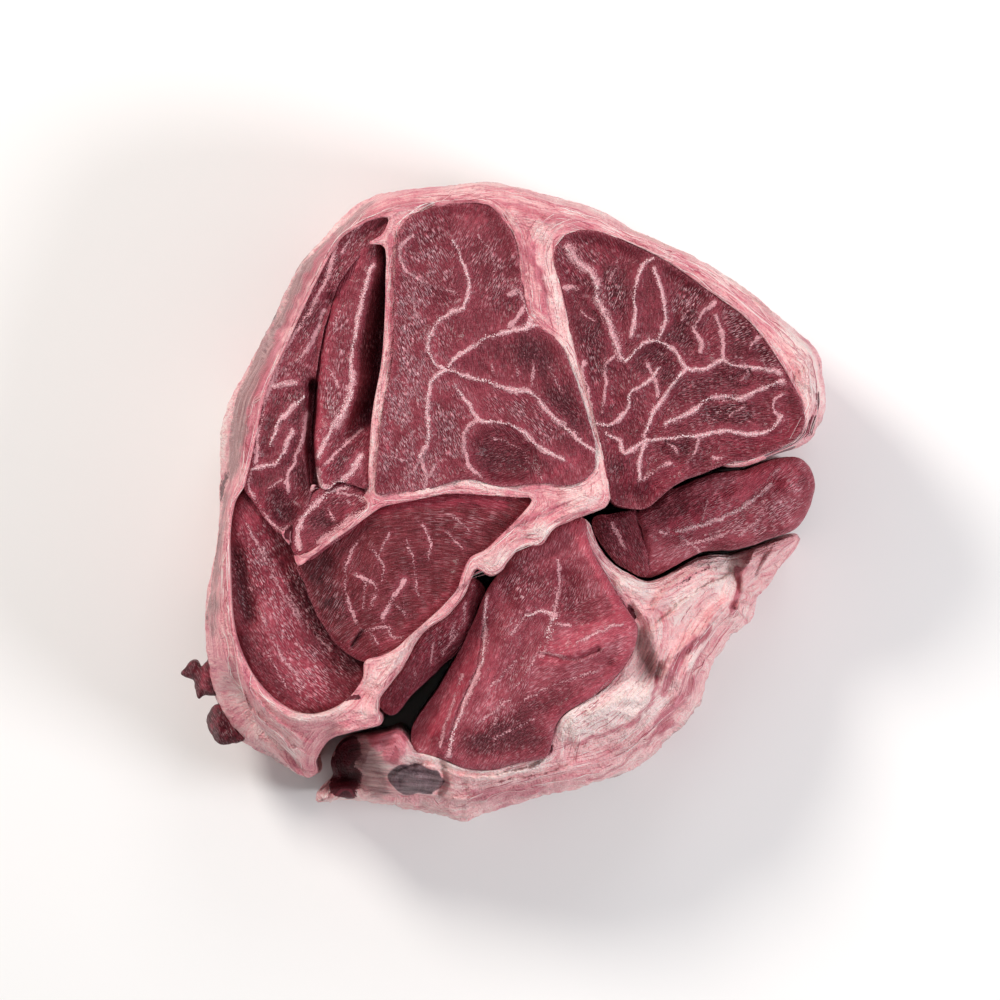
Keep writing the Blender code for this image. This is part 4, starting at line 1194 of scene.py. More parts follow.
def laidOn(tree, geometry, target):
    # moves each point to the nearest place on another piece
    other = addNode(tree, "GeometryNodeObjectInfo", {"Object": target}, transform_space="RELATIVE")
    other = other.outputs["Geometry"]
    near = addNode(tree, "GeometryNodeProximity", {"Geometry": other}, target_element="FACES")
    moved = {"Geometry": geometry, "Position": near.outputs["Position"]}
    return addNode(tree, "GeometryNodeSetPosition", moved)


def runTree(places, edges, fields, tree, values):
    # runs a Geometry Nodes tree on lines and gives back a plain mesh
    lines = bpy.data.meshes.new("lines")
    lines.from_pydata((places * mm).tolist(), edges, [])
    setFields(lines, fields)
    obj = bpy.data.objects.new("lines", lines)
    bpy.context.scene.collection.objects.link(obj)
    modifier = obj.modifiers.new("nodes", "NODES")
    modifier.node_group = tree
    for item in tree.interface.items_tree:
        if item.in_out == "INPUT" and item.name in values:
            modifier[item.identifier] = values[item.name]
    bpy.context.view_layer.update()
    evaluated = obj.evaluated_get(bpy.context.evaluated_depsgraph_get())
    mesh = bpy.data.meshes.new_from_object(evaluated)
    bpy.data.objects.remove(obj)
    return mesh


def beadTree():
    tree, given = newTree("fatBeadsAlongSeams", (
        ("Lines", "Geometry"), ("Lean", "Object"), ("Spacing", "Float"), ("Smallest", "Float"),
        ("Largest", "Float"), ("Spread", "Float"), ("Seed", "Int"), ("Finish", "Material"),
    ))
    width = addNode(tree, "GeometryNodeInputNamedAttribute", {"Name": "width"}, data_type="FLOAT")
    line = addNode(tree, "GeometryNodeMeshToCurve", {"Mesh": given["Lines"]})
    spaced = {"Curve": line, "Length": given["Spacing"]}
    strewn = addNode(tree, "GeometryNodeCurveToPoints", spaced, mode="LENGTH")

    # sideways, most of them near the middle of the seam
    vector, number = {"data_type": "FLOAT_VECTOR"}, {"data_type": "FLOAT"}
    random = "FunctionNodeRandomValue"
    side = addNode(tree, random, {0: (-1, -1, 0), 1: (1, 1, 0), "Seed": given["Seed"]}, **vector)
    nearer = addNode(tree, random, {2: 0.0, 3: 1.0, "Seed": 11}, **number)
    reach = addNode(tree, "Math", {0: width, 1: given["Spread"]}, **times)
    reach = addNode(tree, "Math", {0: reach, 1: nearer}, **times)
    shift = addNode(tree, "VectorMath", {0: side, "Scale": reach}, operation="SCALE")
    strewn = addNode(tree, "GeometryNodeSetPosition", {"Geometry": strewn, "Offset": shift})
    strewn = laidOn(tree, strewn, given["Lean"])

    ball = addNode(tree, "GeometryNodeMeshIcoSphere", {"Radius": 1.0, "Subdivisions": 1})
    size = addNode(tree, random, {2: given["Smallest"], 3: given["Largest"], "Seed": 23}, **number)
    turn = addNode(tree, random, {0: (0, 0, 0), 1: (math.tau, math.tau, math.tau), "Seed": 37}, **vector)
    squashed = addNode(tree, random, {0: (0.7, 0.7, 0.5), 1: (1.5, 1.1, 0.9)}, **vector)
    scale = addNode(tree, "VectorMath", {0: squashed, "Scale": size}, operation="SCALE")
    balls = addNode(tree, "GeometryNodeInstanceOnPoints", {
        "Points": strewn, "Instance": ball.outputs["Mesh"], "Rotation": turn, "Scale": scale,
    })
    return endTree(tree, balls, given["Finish"])


# Intramuscular fat: firm, waxy and pinkish white
marblingFinish = {
    "colours": ("#d48a94", "#eebcc2", "#fbe2e1", "#fff6f4"),
    "cloud": 0.9,
    "bumpDepth": 0.05,
    "specular": 0.4,
    "subsurface": 0.1,
    "subsurfaceDepth": 0.6,
    "coat": 0.1,
    "coatRoughness": 0.2,
}


def marblingFat(spec):
    material, tree = newMaterial("marbling_fat")
    place = addNode(tree, "TexCoord").outputs["Object"]
    cloudy = addNode(tree, "TexNoise", {"Vector": place, "Scale": 1 / (spec["cloud"] * mm), "Detail": 2})
    colour = addNode(tree, "ValToRGB", {"Fac": cloudy})
    setRamp(colour, spec["colours"])
    finishMaterial(tree, colour, 0.4, cloudy, spec)
    return material


def makeBeads(lined):
    tree = beadTree()
    material = marblingFat(marblingFinish)
    joined = bmesh.new()
    for muscle, (places, edges, widths) in lined:
        if not edges:
            continue
        crumbs = runTree(places, edges, {"width": widths}, tree, {
            "Lean": muscle,
            "Spacing": beads["spacing"] * mm,
            "Smallest": beads["small"] * mm,
            "Largest": beads["large"] * mm,
            "Spread": beads["spread"] * mm,
            "Seed": beads["seed"],
            "Finish": material,
        })
        joined.from_mesh(crumbs)
        bpy.data.meshes.remove(crumbs)
    mesh = bpy.data.meshes.new("fat_marbling_beads")
    joined.to_mesh(mesh)
    joined.free()
    mesh.shade_smooth()
    mesh.materials.append(material)
    addPiece("fat_marbling_beads", mesh, [], "fat")


makeBeads([makeMuscle(spec, number) for number, spec in enumerate(muscles)])


# The covers: outer side as x, y and how far the face's rim stands in from the girth there
coverSide = [
    (54.5, 9.2, 0), (57, 8.2, 0), (62, 8.6, 0), (68, 11, 0), (75, 13.6, 0.5), (78.6, 18.5, 1.5),
    (80.4, 24, 2), (79.5, 32, 2), (78, 37.5, 2.5), (69, 46, 3), (58, 55.5, 3), (47, 62.5, 3), (34, 67.5, 3),
    (24, 72.5, 3), (9, 77.5, 3), (-3, 79.8, 3.5), (-12, 78.6, 3), (-24, 77.6, 3), (-32, 76, 3.5),
    (-38, 72, 4), (-46, 64, 5.5), (-51, 58, 6), (-57, 46, 7), (-65, 32, 7.5), (-69.5, 22, 8), (-70, 10, 7),
    (-71, 0, 5), (-72.3, -12, 4), (-74, -26, 5), (-73.5, -38, 6), (-72.5, -50, 7), (-67, -60, 6),
    (-59, -65, 4), (-51, -69.6, 1.5), (-46.4, -69.3, 0.5), (-47, -66, 0), (-43, -60.3, 0), (-37, -58.2, 0),
    (-30.5, -56.5, 0), (-30, -54.3, 0),
]
coverCleft = [
    (-30, -54.3, 0), (-31, -50.8, 0), (-25, -42.5, 0), (-21.5, -36, 0), (-18.5, -32.4, 0), (-13.5, -29, 0),
    (-9.2, -23.8, 0), (-7.6, -20, 0), (-6.2, -17.6, 0), (-3, -19.3, 0), (0, -18, 0), (2, -15, 0), (5, -12, 0),
    (10, -11.3, 0), (13, -7.5, 0), (17, -5.5, 0), (21, -4, 0), (26, -2, 0), (27.4, 0.4, 0),
]
# The cover's edge follows the right muscle from one of these to the other, over its top
rightRoom = ((27.3, 2), (58, 9.9))
flapSide = [
    (77, -10, 0.1), (75.5, -12.8, 0.2), (70, -18, 0.6), (64, -24, 1.5), (62.5, -29.5, 2), (57, -34, 2),
    (51.5, -43, 2), (49, -51.5, 2), (43, -59, 3), (34, -67, 3), (25, -70.6, 3), (11, -73.5, 3),
    (1, -76.7, 3.5), (-9, -80.3, 3.5), (-18, -78.3, 3), (-28, -76.9, 2.5), (-38, -75.8, 2), (-46, -76.2, 1),
    (-47.3, -74.8, 0), (-43.8, -71.3, 0), (-44.2, -67, 0), (-41.3, -61.8, 0), (-36, -60, 0),
    (-29.5, -58.7, 0), (-26, -57.8, 0), (-23.6, -60, 0), (-22, -62.8, 0),
]
flapCleft = [
    (-22, -62.8, 0), (-17, -64, 0), (-9, -67, 0), (-3, -67.5, 0), (3, -66, 0), (11.5, -63.9, 0),
    (12.3, -60, 0), (14.8, -54, 0), (25, -47.2, 0), (31.6, -39.8, 0), (33.7, -33, 0), (32, -29.3, 0),
    (26.5, -20.3, 0), (21.9, -12, 0), (20.4, -5, 0), (22.2, -6, 0), (23.2, -9, 0), (25.2, -12.8, 0),
    (27.8, -16, 0), (31.5, -18.3, 0), (38.5, -20.4, 0), (50, -14.7, 0), (60, -13.6, 0), (70, -10.2, 0),
    (75.5, -8.6, 0), (77, -10, 0),
]
skinShape = {
    "growth": 1.022,  # the girth is this much wider than the drawn outline
    "levels": [  # share of the height, share of the flare, further stand-in
        (0.00, 0.50, 4.5), (0.05, 0.35, 2.0), (0.18, 0.15, 0.3), (0.42, 0.00, 0.0),
        (0.68, 0.20, 0.0), (0.85, 0.55, 0.0), (0.955, 0.90, 0.0), (1.00, 1.00, 2.5),
    ],
    "thinRound": 0.4,  # how far an edge that doesn't flare is rounded
    "fold": 1.5,
    "foldSize": (24, 7 / 3),  # millimetres round the girth, folds from foot to rim
    "pleat": (3.2, 3.2, 11),
    "edge": (0.3, 1.2),  # how far the face drops beside an opening, and over what distance
    "lipWander": (0.7, 5),
    "ridgeWander": (2.5, 9),
    "ridge": (0.55, 7),  # height and size
    "fine": (0.3, 2.4),
    "grit": (0.22, 1.1),
    "window": 0.6,  # between points of an opening
    "windowLevel": 30,
    "rings": 62,
    "outline": 0.7,
    "face": 0.42,
    "under": 1.8,
}
sideOutline = nodeOutline("muscle_side")
lowerOutline = nodeOutline("muscle_lower")
rightOutline = nodeOutline("muscle_right")


def wayRound(outline, start, end):
    # the stretch of an outline between two places that runs the long way, clockwise
    loop = outline[::-1]
    first, last = [int(np.hypot(*(loop - place).T).argmin()) for place in (start, end)]
    stretch = np.roll(loop, -first, axis=0)[:(last - first) % len(loop) + 1]
    return [(x, y, 0) for x, y in stretch]


def coverLevel(p):
    away, _ = nearness(p, [sideOutline], 0.4, closed=True)
    lobe = np.clip(away - 2, 0, 20) * ~inside(p, sideOutline)
    return fasciaLevel - 1.7 * lobe * ease(-p[:, 1], 38, 50) * ease(-p[:, 0], 38, 46)


def flapLevel(p):
    away, _ = nearness(p, [lowerOutline], 0.4, closed=True)
    fall = 0.75 * np.where(inside(p, lowerOutline), 0, away)
    scrap = 1 - ease(np.hypot(p[:, 0] + 28, p[:, 1] + 62), 3, 8)
    wall = ease(-p[:, 0], 32, 40) * ease(p[:, 1], -75.5, -71)
    return np.clip(faceLevel - 9 - fall + 7 * scrap - 16 * wall, 18, 70)


fasciaCover = {
    "name": "fat_fascia_cover", "node": "fascia_cover", "seed": 2000, "beside": sideOutline,
    "edges": [coverSide, coverCleft, wayRound(rightOutline, *rightRoom), [(58, 9.9, 0), (54.5, 9.2, 0)]],
    "level": coverLevel, "slot": "fascia", "wrinkle": (0.6, 0.7), "paler": -0.02,
    "fibres": [(1500, -5, 8), (120, 0.3, 2.2)], "bare": [(-40, -62, 12)],
    "relief": [
        (1.2, 5, [(-1, -15), (2, -13)]), (1.5, 4, [(9, -7), (13, -8)]), (0.9, 4, [(-32, -44), (-30, -47)]),
        (-5.0, 4.5, [(-51.5, -12), (-50, -5), (-46, 1.5), (-40, 4), (-36, 2.5)]),
        (1.0, 4, [(6, 62), (14, 28), (20, 12)]), (1.6, 5, [(75, 36), (78, 31)]),
        (-1.5, 3, [(-38, -49.5), (-35, -49)]), (1.0, 5, [(20, 1), (24, 2)]),
    ],
    "lips": [
        (2.0, 1.6, [(14.5, 69), (7.8, 71), (1, 72.8), (-5.7, 74.6), (-13, 74.2), (-19.8, 74.8), (-27, 72.5),
            (-38, 68)]), (1.6, 1.4, [(-12, 78), (-22, 76.6), (-30, 74.6), (-40, 69.2), (-46, 62.5)]),
        (1.8, 1.5, [(73.6, 28.5), (71.2, 33.4), (66.9, 39.5), (62, 45), (55.9, 50.6), (51, 54.8),
            (43.6, 59.1), (37.5, 62.8), (28, 66.5)]), (-1.6, 0.6, [(55, 53.4), (50, 56.8), (45.5, 59.6)]),
        (2.0, 1.5, [(11.8, 48), (10, 54), (7.9, 59), (6, 63.5), (4, 68)]),
        (-0.9, 0.7, [(17.5, 36), (21, 24), (24, 13)]), (3.0, 2.0, [(79.1, 34.6), (76, 32.8), (73, 29.1)]),
        (2.0, 1.5, [(-70, 5), (-67.5, 14), (-64, 26), (-57.5, 40), (-50, 53)]),
        (2.0, 1.5, [(-48, -65), (-55, -60), (-63, -52), (-68, -42), (-70, -30), (-69.5, -15)]),
        (2.0, 1.5, [(-47, -62), (-54, -57), (-62, -48), (-66, -37), (-67, -26)]),
        (1.6, 1.2, [(-30.5, -48), (-25, -38.5), (-18, -29), (-10, -21.5), (-6, -16)]),
        (1.4, 1.0, [(-2, -9), (5, -5.5), (11, -3), (18, 1)]),
        (1.4, 1.0, [(2, -11), (8, -8), (15, -4.5), (22, -1)]),
        (2.0, 1.2, [(-29.5, -53), (-38, -52), (-46, -53.5), (-54, -53)]),
        (1.4, 1.2, [(74, 20), (70, 31), (62, 41), (52, 50), (40, 58)]),
    ],
    "cream": [
        (0.9, 4, [(10, 68), (12, 58), (14, 48), (17, 36), (20.5, 22), (23, 10)]),
        (0.4, 3, [(4, 71), (9, 66)]), (0.3, 4, [(-29, 66), (-28.3, 50), (-28.5, 35), (-31, 20), (-32, 4)]),
        (0.5, 5, [(-33, -46), (-22, -35), (-10, -24)]), (1.0, 5, [(-5, -17), (0, -14)]),
        (0.9, 3, [(9, -7), (14, -9)]), (0.7, 5, [(18, 0), (25, 3)]), (1.1, 6, [(72, 42), (77, 36), (79, 27)]),
        (0.8, 3.5, [(10, 79), (24, 74), (44, 65), (60, 54)]), (0.5, 3, [(-12, 79.5), (0, 81)]),
        (0.4, 2, [(-24, 75.5), (-10, 77), (2, 76)]), (0.5, 5, [(-49, -54), (-41, -52), (-33, -52)]),
        (0.8, 3, [(-20, 2), (-14, 4.5), (-6, 5), (-1, 2.7)]), (0.7, 5, [(-66, -50), (-60, -58), (-52, -64)]),
    ],
    "blood": [
        (1.0, 2.0, [(6, 63), (8, 58.5), (10, 53), (11.2, 48.5)]), (0.8, 1.6, [(3, 68), (5, 62), (5.5, 57)]),
        (0.7, 2.2, [(-36, 69.5), (-26, 73.2), (-12, 74.6), (4, 73), (14, 70), (22, 67.5)]),
        (0.5, 2.2, [(26, 66), (40, 59.5), (52, 51.5), (62, 43), (70, 32)]),
        (0.5, 5, [(-60, -48), (-64, -52), (-56, -60)]),
        (0.9, 2.0, [(-42, 66.5), (-48, 57), (-55, 43), (-62, 25), (-64.5, 10)]),
        (0.5, 3, [(-66, -4), (-66.5, -20), (-65, -34)]), (0.6, 2, [(-2, -8), (8, -4), (16, 1)]),
        (0.6, 3, [(-47, -56), (-38, -56), (-32, -55)]),
        (1.0, 1.8, [(-28, 66), (-27.4, 50), (-27.6, 34), (-29.5, 12)]),
        (0.5, 5, [(-24, -34), (-12, -24), (-2, -14), (8, -6)]),
    ],
    "silver": [
        (1.6, 6, [(-45, 67.5), (-55, 51), (-61, 39), (-66, 25), (-69.5, 10)]),
        (1.0, 5, [(-60, 50), (-67, 36), (-73, 20)]), (1.3, 7, [(-73, 4), (-75, -14), (-76, -30)]),
        (0.6, 4, [(-34, 74), (-44, 67)]),
    ],
    "bruise": [(0.9, 2.2, [(66, 11), (71, 12.5), (75, 15)]), (0.9, 4, [(-52, 60), (-61, 44), (-68, 26)])],
    "rind": [
        (0.8, 4, [(30, 70), (42, 65), (54, 59.5), (62, 53.5), (69, 47.5)]), (0.3, 3, [(-64, 42), (-70, 28)]),
    ],
    "lean": [
        (1.3, 2.5, [(75.5, 15), (78, 18), (80, 26)]),
        # these two strokes paint dark lean colour into the groove and the dip, as painted shade
        (1.2, 3.2, [(-52, -12), (-51.5, -6), (-47.5, 0), (-42, 4)]), (0.9, 1.6, [(-40.5, -50), (-36, -49.3)]),
    ],
}
fatFlap = {
    "name": "fat_lower_flap", "node": "fat_flap", "seed": 2100, "beside": lowerOutline,
    "edges": [flapSide, flapCleft], "level": flapLevel,
    "slot": "fat", "wrinkle": (1.2, 1.1), "paler": 0.16, "fibres": [(800, -5, 9)],
    "bare": [(-30, -68, 18), (34, -37, 9), (62, -22, 7)],
    "relief": [
        (5.0, 9, [(19, -55), (27, -53), (34, -50)]), (-6, 5, [(34, -33), (34, -38), (37, -43)]),
        (3.0, 6, [(44, -44), (52, -34), (58, -26)]), (3.0, 4, [(31, -21), (35, -23)]),
        (-3, 2.2, [(32.3, -27.5), (33.5, -29)]), (2.5, 5, [(-21.5, -71)]),
        (-3, 2.0, [(-15, -66), (-14, -70), (-15.5, -74)]), (2.0, 7, [(42, -24), (52, -18)]),
        (3.0, 3, [(-45, -75.5), (-34, -75.5)]), (4, 7, [(64, -16), (74, -9.5)]),
        (1.6, 4, [(-20, -64.5), (-2, -68)]),
    ],
    "lips": [
        (4.0, 3.0, [(18, -62.5), (20.2, -60.7), (27.3, -57.8), (33, -55), (37, -50.7), (38, -45),
            (39.5, -40.7), (40, -36)]),
        (3.2, 2.5, [(15, -72.5), (22.4, -70), (27.4, -68.6), (33, -64.3), (38, -60), (43, -56.4), (48, -52)]),
        (2.6, 1.8, [(40.2, -47), (43.8, -40), (48, -36.4), (52.3, -32), (56, -26)]),
        (2.4, 1.6, [(43.5, -53), (46, -45), (50, -39), (54, -34), (58, -29)]),
        (4.5, 3.5, [(65, -11.5), (61.5, -17.8), (61, -23.6), (59.5, -28.6), (58.6, -32.5)]),
        (2.2, 2.0, [(70, -12), (66, -17), (63.5, -24)]),
        (2.6, 2.0, [(60, -18), (52, -22), (44, -27), (38, -33)]),
        (2.0, 1.5, [(50, -17), (42, -22), (37, -29)]),
        (2.2, 1.5, [(12, -65), (2, -68.5), (-8, -69.5), (-17, -66.5)]),
        (1.8, 2.0, [(14, -70.5), (4, -72.5), (-6, -75), (-16, -75)]),
        (1.8, 2.0, [(20, -66), (8, -69.5), (-4, -71.5)]),
        (2.6, 1.5, [(-15.3, -74), (-14.8, -70.5), (-17, -67.3), (-21, -66.4), (-25, -67.5), (-27.6, -71),
            (-25, -75)]), (2.6, 1.5, [(-32.8, -60), (-33.5, -63), (-36, -68), (-37.3, -74)]),
        (1.6, 1.2, [(32, -48), (27, -51.5), (20, -53)]), (1.4, 1.2, [(46, -26), (52, -21), (58, -16)]),
    ],
    "cream": [
        (0.8, 10, [(18, -55), (27, -53), (35, -50)]), (0.3, 4, [(-44, -76), (-30, -76)]),
        (0.6, 4, [(-18, -65), (0, -68), (10, -66)]), (0.9, 3.5, [(31, -21), (36, -23)]),
        (0.7, 7, [(45, -28), (50, -24), (58, -18)]), (0.5, 3, [(47, -42), (53, -33)]),
    ],
    "blood": [
        (1.1, 2.4, [(41, -48), (44, -41), (48, -37), (52.5, -32.5)]),
        (0.9, 3, [(21, -8), (23.5, -16), (28, -22), (32, -30)]),
        (0.9, 1.6, [(20, -61.5), (27.3, -58.5), (33, -56), (37.5, -51.5), (39, -45)]),
        (0.8, 1.4, [(22.4, -71), (27.4, -69.4), (33, -65.3), (38, -61), (43.5, -57)]),
        (0.9, 1.6, [(60.3, -17.8), (60, -23.6), (58.8, -28.6)]),
        (0.8, 1.4, [(45.5, -46), (50, -40), (54.5, -34.5)]), (0.5, 6, [(64, -18), (75, -10)]),
        (0.4, 5, [(-6, -74), (8, -73)]), (0.5, 4, [(36, -30), (42, -26)]),
        (0.9, 3.5, [(40, -57), (46, -50), (49, -46)]), (1.6, 4.5, [(-31, -60), (-26, -60), (-28, -64)]),
        (0.5, 5, [(-14, -76), (4, -75), (20, -70)]), (0.4, 3, [(58, -31), (60, -24), (62, -17)]),
        (0.5, 3, [(-32, -75.5), (-22, -76.5)]),
    ],
    "silver": [(1.0, 6, [(-34, -65), (-32, -72)]), (0.6, 5, [(35, -35), (37, -43)])],
    "bruise": [(1.4, 7, [(-24, -70.5), (-19, -71.3)])], "rind": [(0.3, 4, [(40, -63), (48, -54)])],
    "lean": [
        # the second stroke paints the notch beside the fat knob dark, as painted shade
        (2.0, 6, [(-42, -62), (-40, -64), (-42, -68), (-40, -72)]), (1.0, 1.8, [(32.3, -27.5), (33.5, -29)]),
        (0.5, 2.0, [(44, -22), (52, -16.5)]),
    ],
}
sideFields = {  # on the sides: swing, mean, size, and from where to where below the rim the strokes fade
    "cream": (0.9, 0.1, 20, 9, 24),
    "blood": (1.3, -0.15, 17, 9, 24),
    "silver": (1.3, -0.05, 26, 9, 24),
    "bruise": (1.2, -0.55, 22, 0, 6),
    "rind": (1.0, -0.6, 22, 9, 24),
    "lean": (1.6, -0.75, 20, 0, 6),
}


def makeCover(spec, windows, kept):
    # windows are the openings for the muscles inside; the outlines in kept stay free of the cover
    shape, seed = skinShape, spec["seed"]
    plainLoop = joinLines(*spec["edges"], spacing=shape["outline"])
    flare = plainLoop[:, 2]
    free = ease(flare, 0, 1)
    swollen = plainLoop.copy()
    swollen[:, :2] *= (1 + (shape["growth"] - 1) * free)[:, None]
    normals = outward(swollen, 5)
    room, _ = nearness(swollen, kept, 0.4, closed=True)
    room = np.where(free > 0, room - 0.7, 9)
    profile = smoothLine(shape["levels"], 0.01)
    localHeight = spec["level"](plainLoop[:, :2])
    fineWrinkle, faceWrinkle = spec["wrinkle"]
    wide, tall = shape["foldSize"]

    def ringAt(share):
        flared = np.interp(share, profile[:, 0], profile[:, 1])
        further = max(np.interp(share, profile[:, 0], profile[:, 2]), 0)
        z = localHeight * share
        folds = [noise.noise(Vector((x / wide, y / wide, share * tall))) for x, y in plainLoop[:, :2]]
        swelling = shape["fold"] * np.array(folds) * free * (ease(share, 0, 0.05) * ease(1 - share, 0, 0.06))
        place = np.column_stack([swollen[:, :2], z])
        ridge = 1 - 2 * np.abs(rough(place / shape["pleat"], 1.0, 2, seed + 3))
        detail = 0.35 * fineWrinkle * ridge + 0.5 * fineWrinkle * rough(place, 5, 3, seed)
        swelling = swelling + detail * (0.35 + 0.65 * free) * ease(share, 0, 0.04) * ease(1 - share, 0, 0.03)
        standIn = free * further + (1 - free) * min(further, shape["thinRound"])
        offset = np.minimum(skinGap + flare * flared + standIn - swelling, room)
        return np.column_stack([swollen[:, :2] - normals * offset[:, None], z])

    shares = 1 - np.linspace(0, 1, shape["rings"]) ** 1.15
    outerRings = [ringAt(share) for share in shares]
    topLoop = outerRings[0][:, :2]
    loops = [topLoop] + windows
    edges = [np.concatenate([w, w[:1]]) for w in windows] + [spec["beside"]]
    edgeDrop, edgeReach = shape["edge"]
    ridgeHeight, ridgeSize = shape["ridge"]
    fineHeight, fineSize = shape["fine"]
    gritHeight, gritSize = shape["grit"]

    def height(p):
        shaken = warped(p, *shape["lipWander"], seed + 9)
        z = spec["level"](p) + paint(p, spec["relief"]) + lips(shaken, spec["lips"])
        edge, _ = nearness(p, edges, 0.4)
        z -= edgeDrop * (1 - np.clip(edge / edgeReach, 0, 1)) ** 2
        bent = warped(p, *shape["ridgeWander"], seed + 8)
        ridge = 1 - 2 * np.abs(rough(bent, ridgeSize, 2, seed + 6))
        rim, _ = nearness(p, [topLoop], 0.6, closed=True)
        fine = fineHeight * rough(p, fineSize, 3, seed + 5) + gritHeight * rough(bent, gritSize, 2, seed + 12)
        z += faceWrinkle * (ridgeHeight * ridge + fine) * ease(rim, 0, 2)
        return capped(z)

    walls = [outerRings[1:]]
    for window in windows:
        top = height(window)
        depths = np.linspace(0, 1, 8)[1:] ** 1.5
        walls.append([np.column_stack([window, top * (1 - d)]) for d in depths])
    body = closedBody(loops, walls, height, shape["face"], shape["under"], seed)
    flat = body["points"][:, :2]
    bent = warped(flat, 1.2, 4, seed + 11)
    depth = spec["level"](flat) - body["points"][:, 2] + 5 * rough(body["points"], 6, 3, seed + 27)
    fields = {}
    wall = body["kind"] == 1
    for key, (swing, mean, size, low, high) in sideFields.items():
        onSide = mean + swing * rough(body["points"] / (1, 1, 2.2), size, 3, seed + 31 + 7 * len(fields))
        near = np.clip(paint(bent, spec[key]), 0, 1.5) * (1 - wall * ease(depth, low, high))
        fields[key] = near + wall * ease(depth, 9, 24) * np.clip(onSide, 0, 1.5)
    finish = {**fatFinish, "level": fatFinish["level"] + spec["paler"], "name": "beef_" + spec["name"]}
    cover = makePiece(spec["name"], body, fields, beefFat(finish), [spec["node"]], spec["slot"])
    return cover, fibreLines(spec, loops, height, seed)


# Loose fibres of the fascia that lie along the rims and the walls between the muscles
fibres = {
    "shortest": 3,
    "longest": 15,
    "step": 2,  # points of an outline between points of a fibre
    "thin": 0.04,  # radius
    "thick": 0.14,
    "sides": 3,
    "sway": 0.3,
    "slant": 0.7,
}


def fibreLines(spec, loops, height, seed):
    random = np.random.default_rng(seed)
    lines, radii, shades = [], [], []
    for loop, (count, low, high) in zip(loops, spec["fibres"] + spec["fibres"][-1:] * len(loops)):
        ring = loop[:, :2]
        out = outward(loop, 8)
        spacing = alongLoop(loop)[-1] / len(loop)
        for _ in range(count):
            length = random.uniform(fibres["shortest"], fibres["longest"])
            steps = max(4, int(length / spacing / fibres["step"]))
            index = (random.integers(len(loop)) + fibres["step"] * np.arange(steps)) % len(loop)
            t = np.linspace(0, 1, steps)
            wave = fibres["sway"] * np.sin(random.uniform(2, 7) * t + random.uniform(0, 6))
            wave += random.uniform(-fibres["slant"], fibres["slant"]) * t
            depth = random.uniform(low, high) + wave
            lines.append(ring[index] - out[index] * depth[:, None])
            tapered = np.sqrt(np.sin(np.pi * (0.06 + 0.88 * t)))
            radii.append(random.uniform(fibres["thin"], fibres["thick"]) * tapered)
            shades.append(np.full(steps, random.uniform()))
    flat = np.concatenate(lines)
    bad = np.zeros(len(flat), bool)
    for window in loops[1:]:
        bad |= inside(flat, window)
    for x, y, reach in spec["bare"]:
        bad |= np.hypot(flat[:, 0] - x, flat[:, 1] - y) < reach
    ends = np.cumsum([len(line) for line in lines])
    kept = [not bad[end - len(line):end].any() for end, line in zip(ends, lines)]
    chosen = [[part for part, good in zip(parts, kept) if good] for parts in (lines, radii, shades)]
    lines, radii, shades = chosen
    flat = np.concatenate(lines)
    starts = set(np.cumsum([0] + [len(line) for line in lines]).tolist())
    edges = [(i, i + 1) for i in range(len(flat) - 1) if i + 1 not in starts]
    places = np.column_stack([flat - drawnCentre, height(flat)])
    return places, edges, np.concatenate(radii), np.concatenate(shades)


def fibreTree():
    tree, given = newTree("fibresOnSurface", (
        ("Lines", "Geometry"), ("Cover", "Object"), ("Sides", "Int"), ("Finish", "Material"),
    ))
    radius = addNode(tree, "GeometryNodeInputNamedAttribute", {"Name": "thickness"}, data_type="FLOAT")
    line = addNode(tree, "GeometryNodeMeshToCurve", {"Mesh": laidOn(tree, given["Lines"], given["Cover"])})
    section = addNode(tree, "GeometryNodeCurvePrimitiveCircle", {"Resolution": given["Sides"], "Radius": 1.0})
    tubes = addNode(tree, "GeometryNodeCurveToMesh", {
        "Curve": line, "Profile Curve": section.outputs["Curve"], "Scale": radius.outputs["Attribute"],
        "Fill Caps": True,
    })
    return endTree(tree, tubes, given["Finish"])


# Fascia fibres: wet collagen, from blood-stained to cream
fibreFinish = {
    **fatFinish,
    "colours": ("#b34a5c", "#d78590", "#efb6ba", "#fbdbd8", "#fff0ea"),
    "cloud": 6,
    "bumpDepth": 0.02,
}


def fasciaFibre(spec):
    material, tree = newMaterial("fascia_fibre")
    shade = addNode(tree, "Attribute", attribute_name="shade").outputs["Fac"]
    place = addNode(tree, "TexCoord").outputs["Object"]
    cloudy = addNode(tree, "TexNoise", {"Vector": place, "Scale": 1 / (spec["cloud"] * mm), "Detail": 2})
    value = addNode(tree, "Math", {0: cloudy, 1: 0.8, 2: -0.4}, **timesPlus)
    value = addNode(tree, "Math", {0: value, 1: shade}, operation="ADD")
    colour = addNode(tree, "ValToRGB", {"Fac": value})
    setRamp(colour, spec["colours"])
    finishMaterial(tree, colour, 0.38, cloudy, spec)
    return material


def makeFibres(lined, name, material):
    cover, (places, edges, radii, shades) = lined
    values = {"Cover": cover, "Sides": fibres["sides"], "Finish": material}
    mesh = runTree(places, edges, {"thickness": radii * mm, "shade": shades}, fibreTree(), values)
    addPiece(name, mesh, [], "fascia")


coverWindows = windowOutlines("fascia_cover", skinShape["windowLevel"])
coverWindows = [smoothLine(w, skinShape["window"], closed=True)[::-1] for w in coverWindows]
fibreMaterial = fasciaFibre(fibreFinish)
lined = makeCover(fasciaCover, coverWindows, coverWindows + [rightOutline])
makeFibres(lined, "fascia_cover_fibres", fibreMaterial)
lined = makeCover(fatFlap, [], [lowerOutline, rightOutline])
makeFibres(lined, "fat_flap_fibres", fibreMaterial)


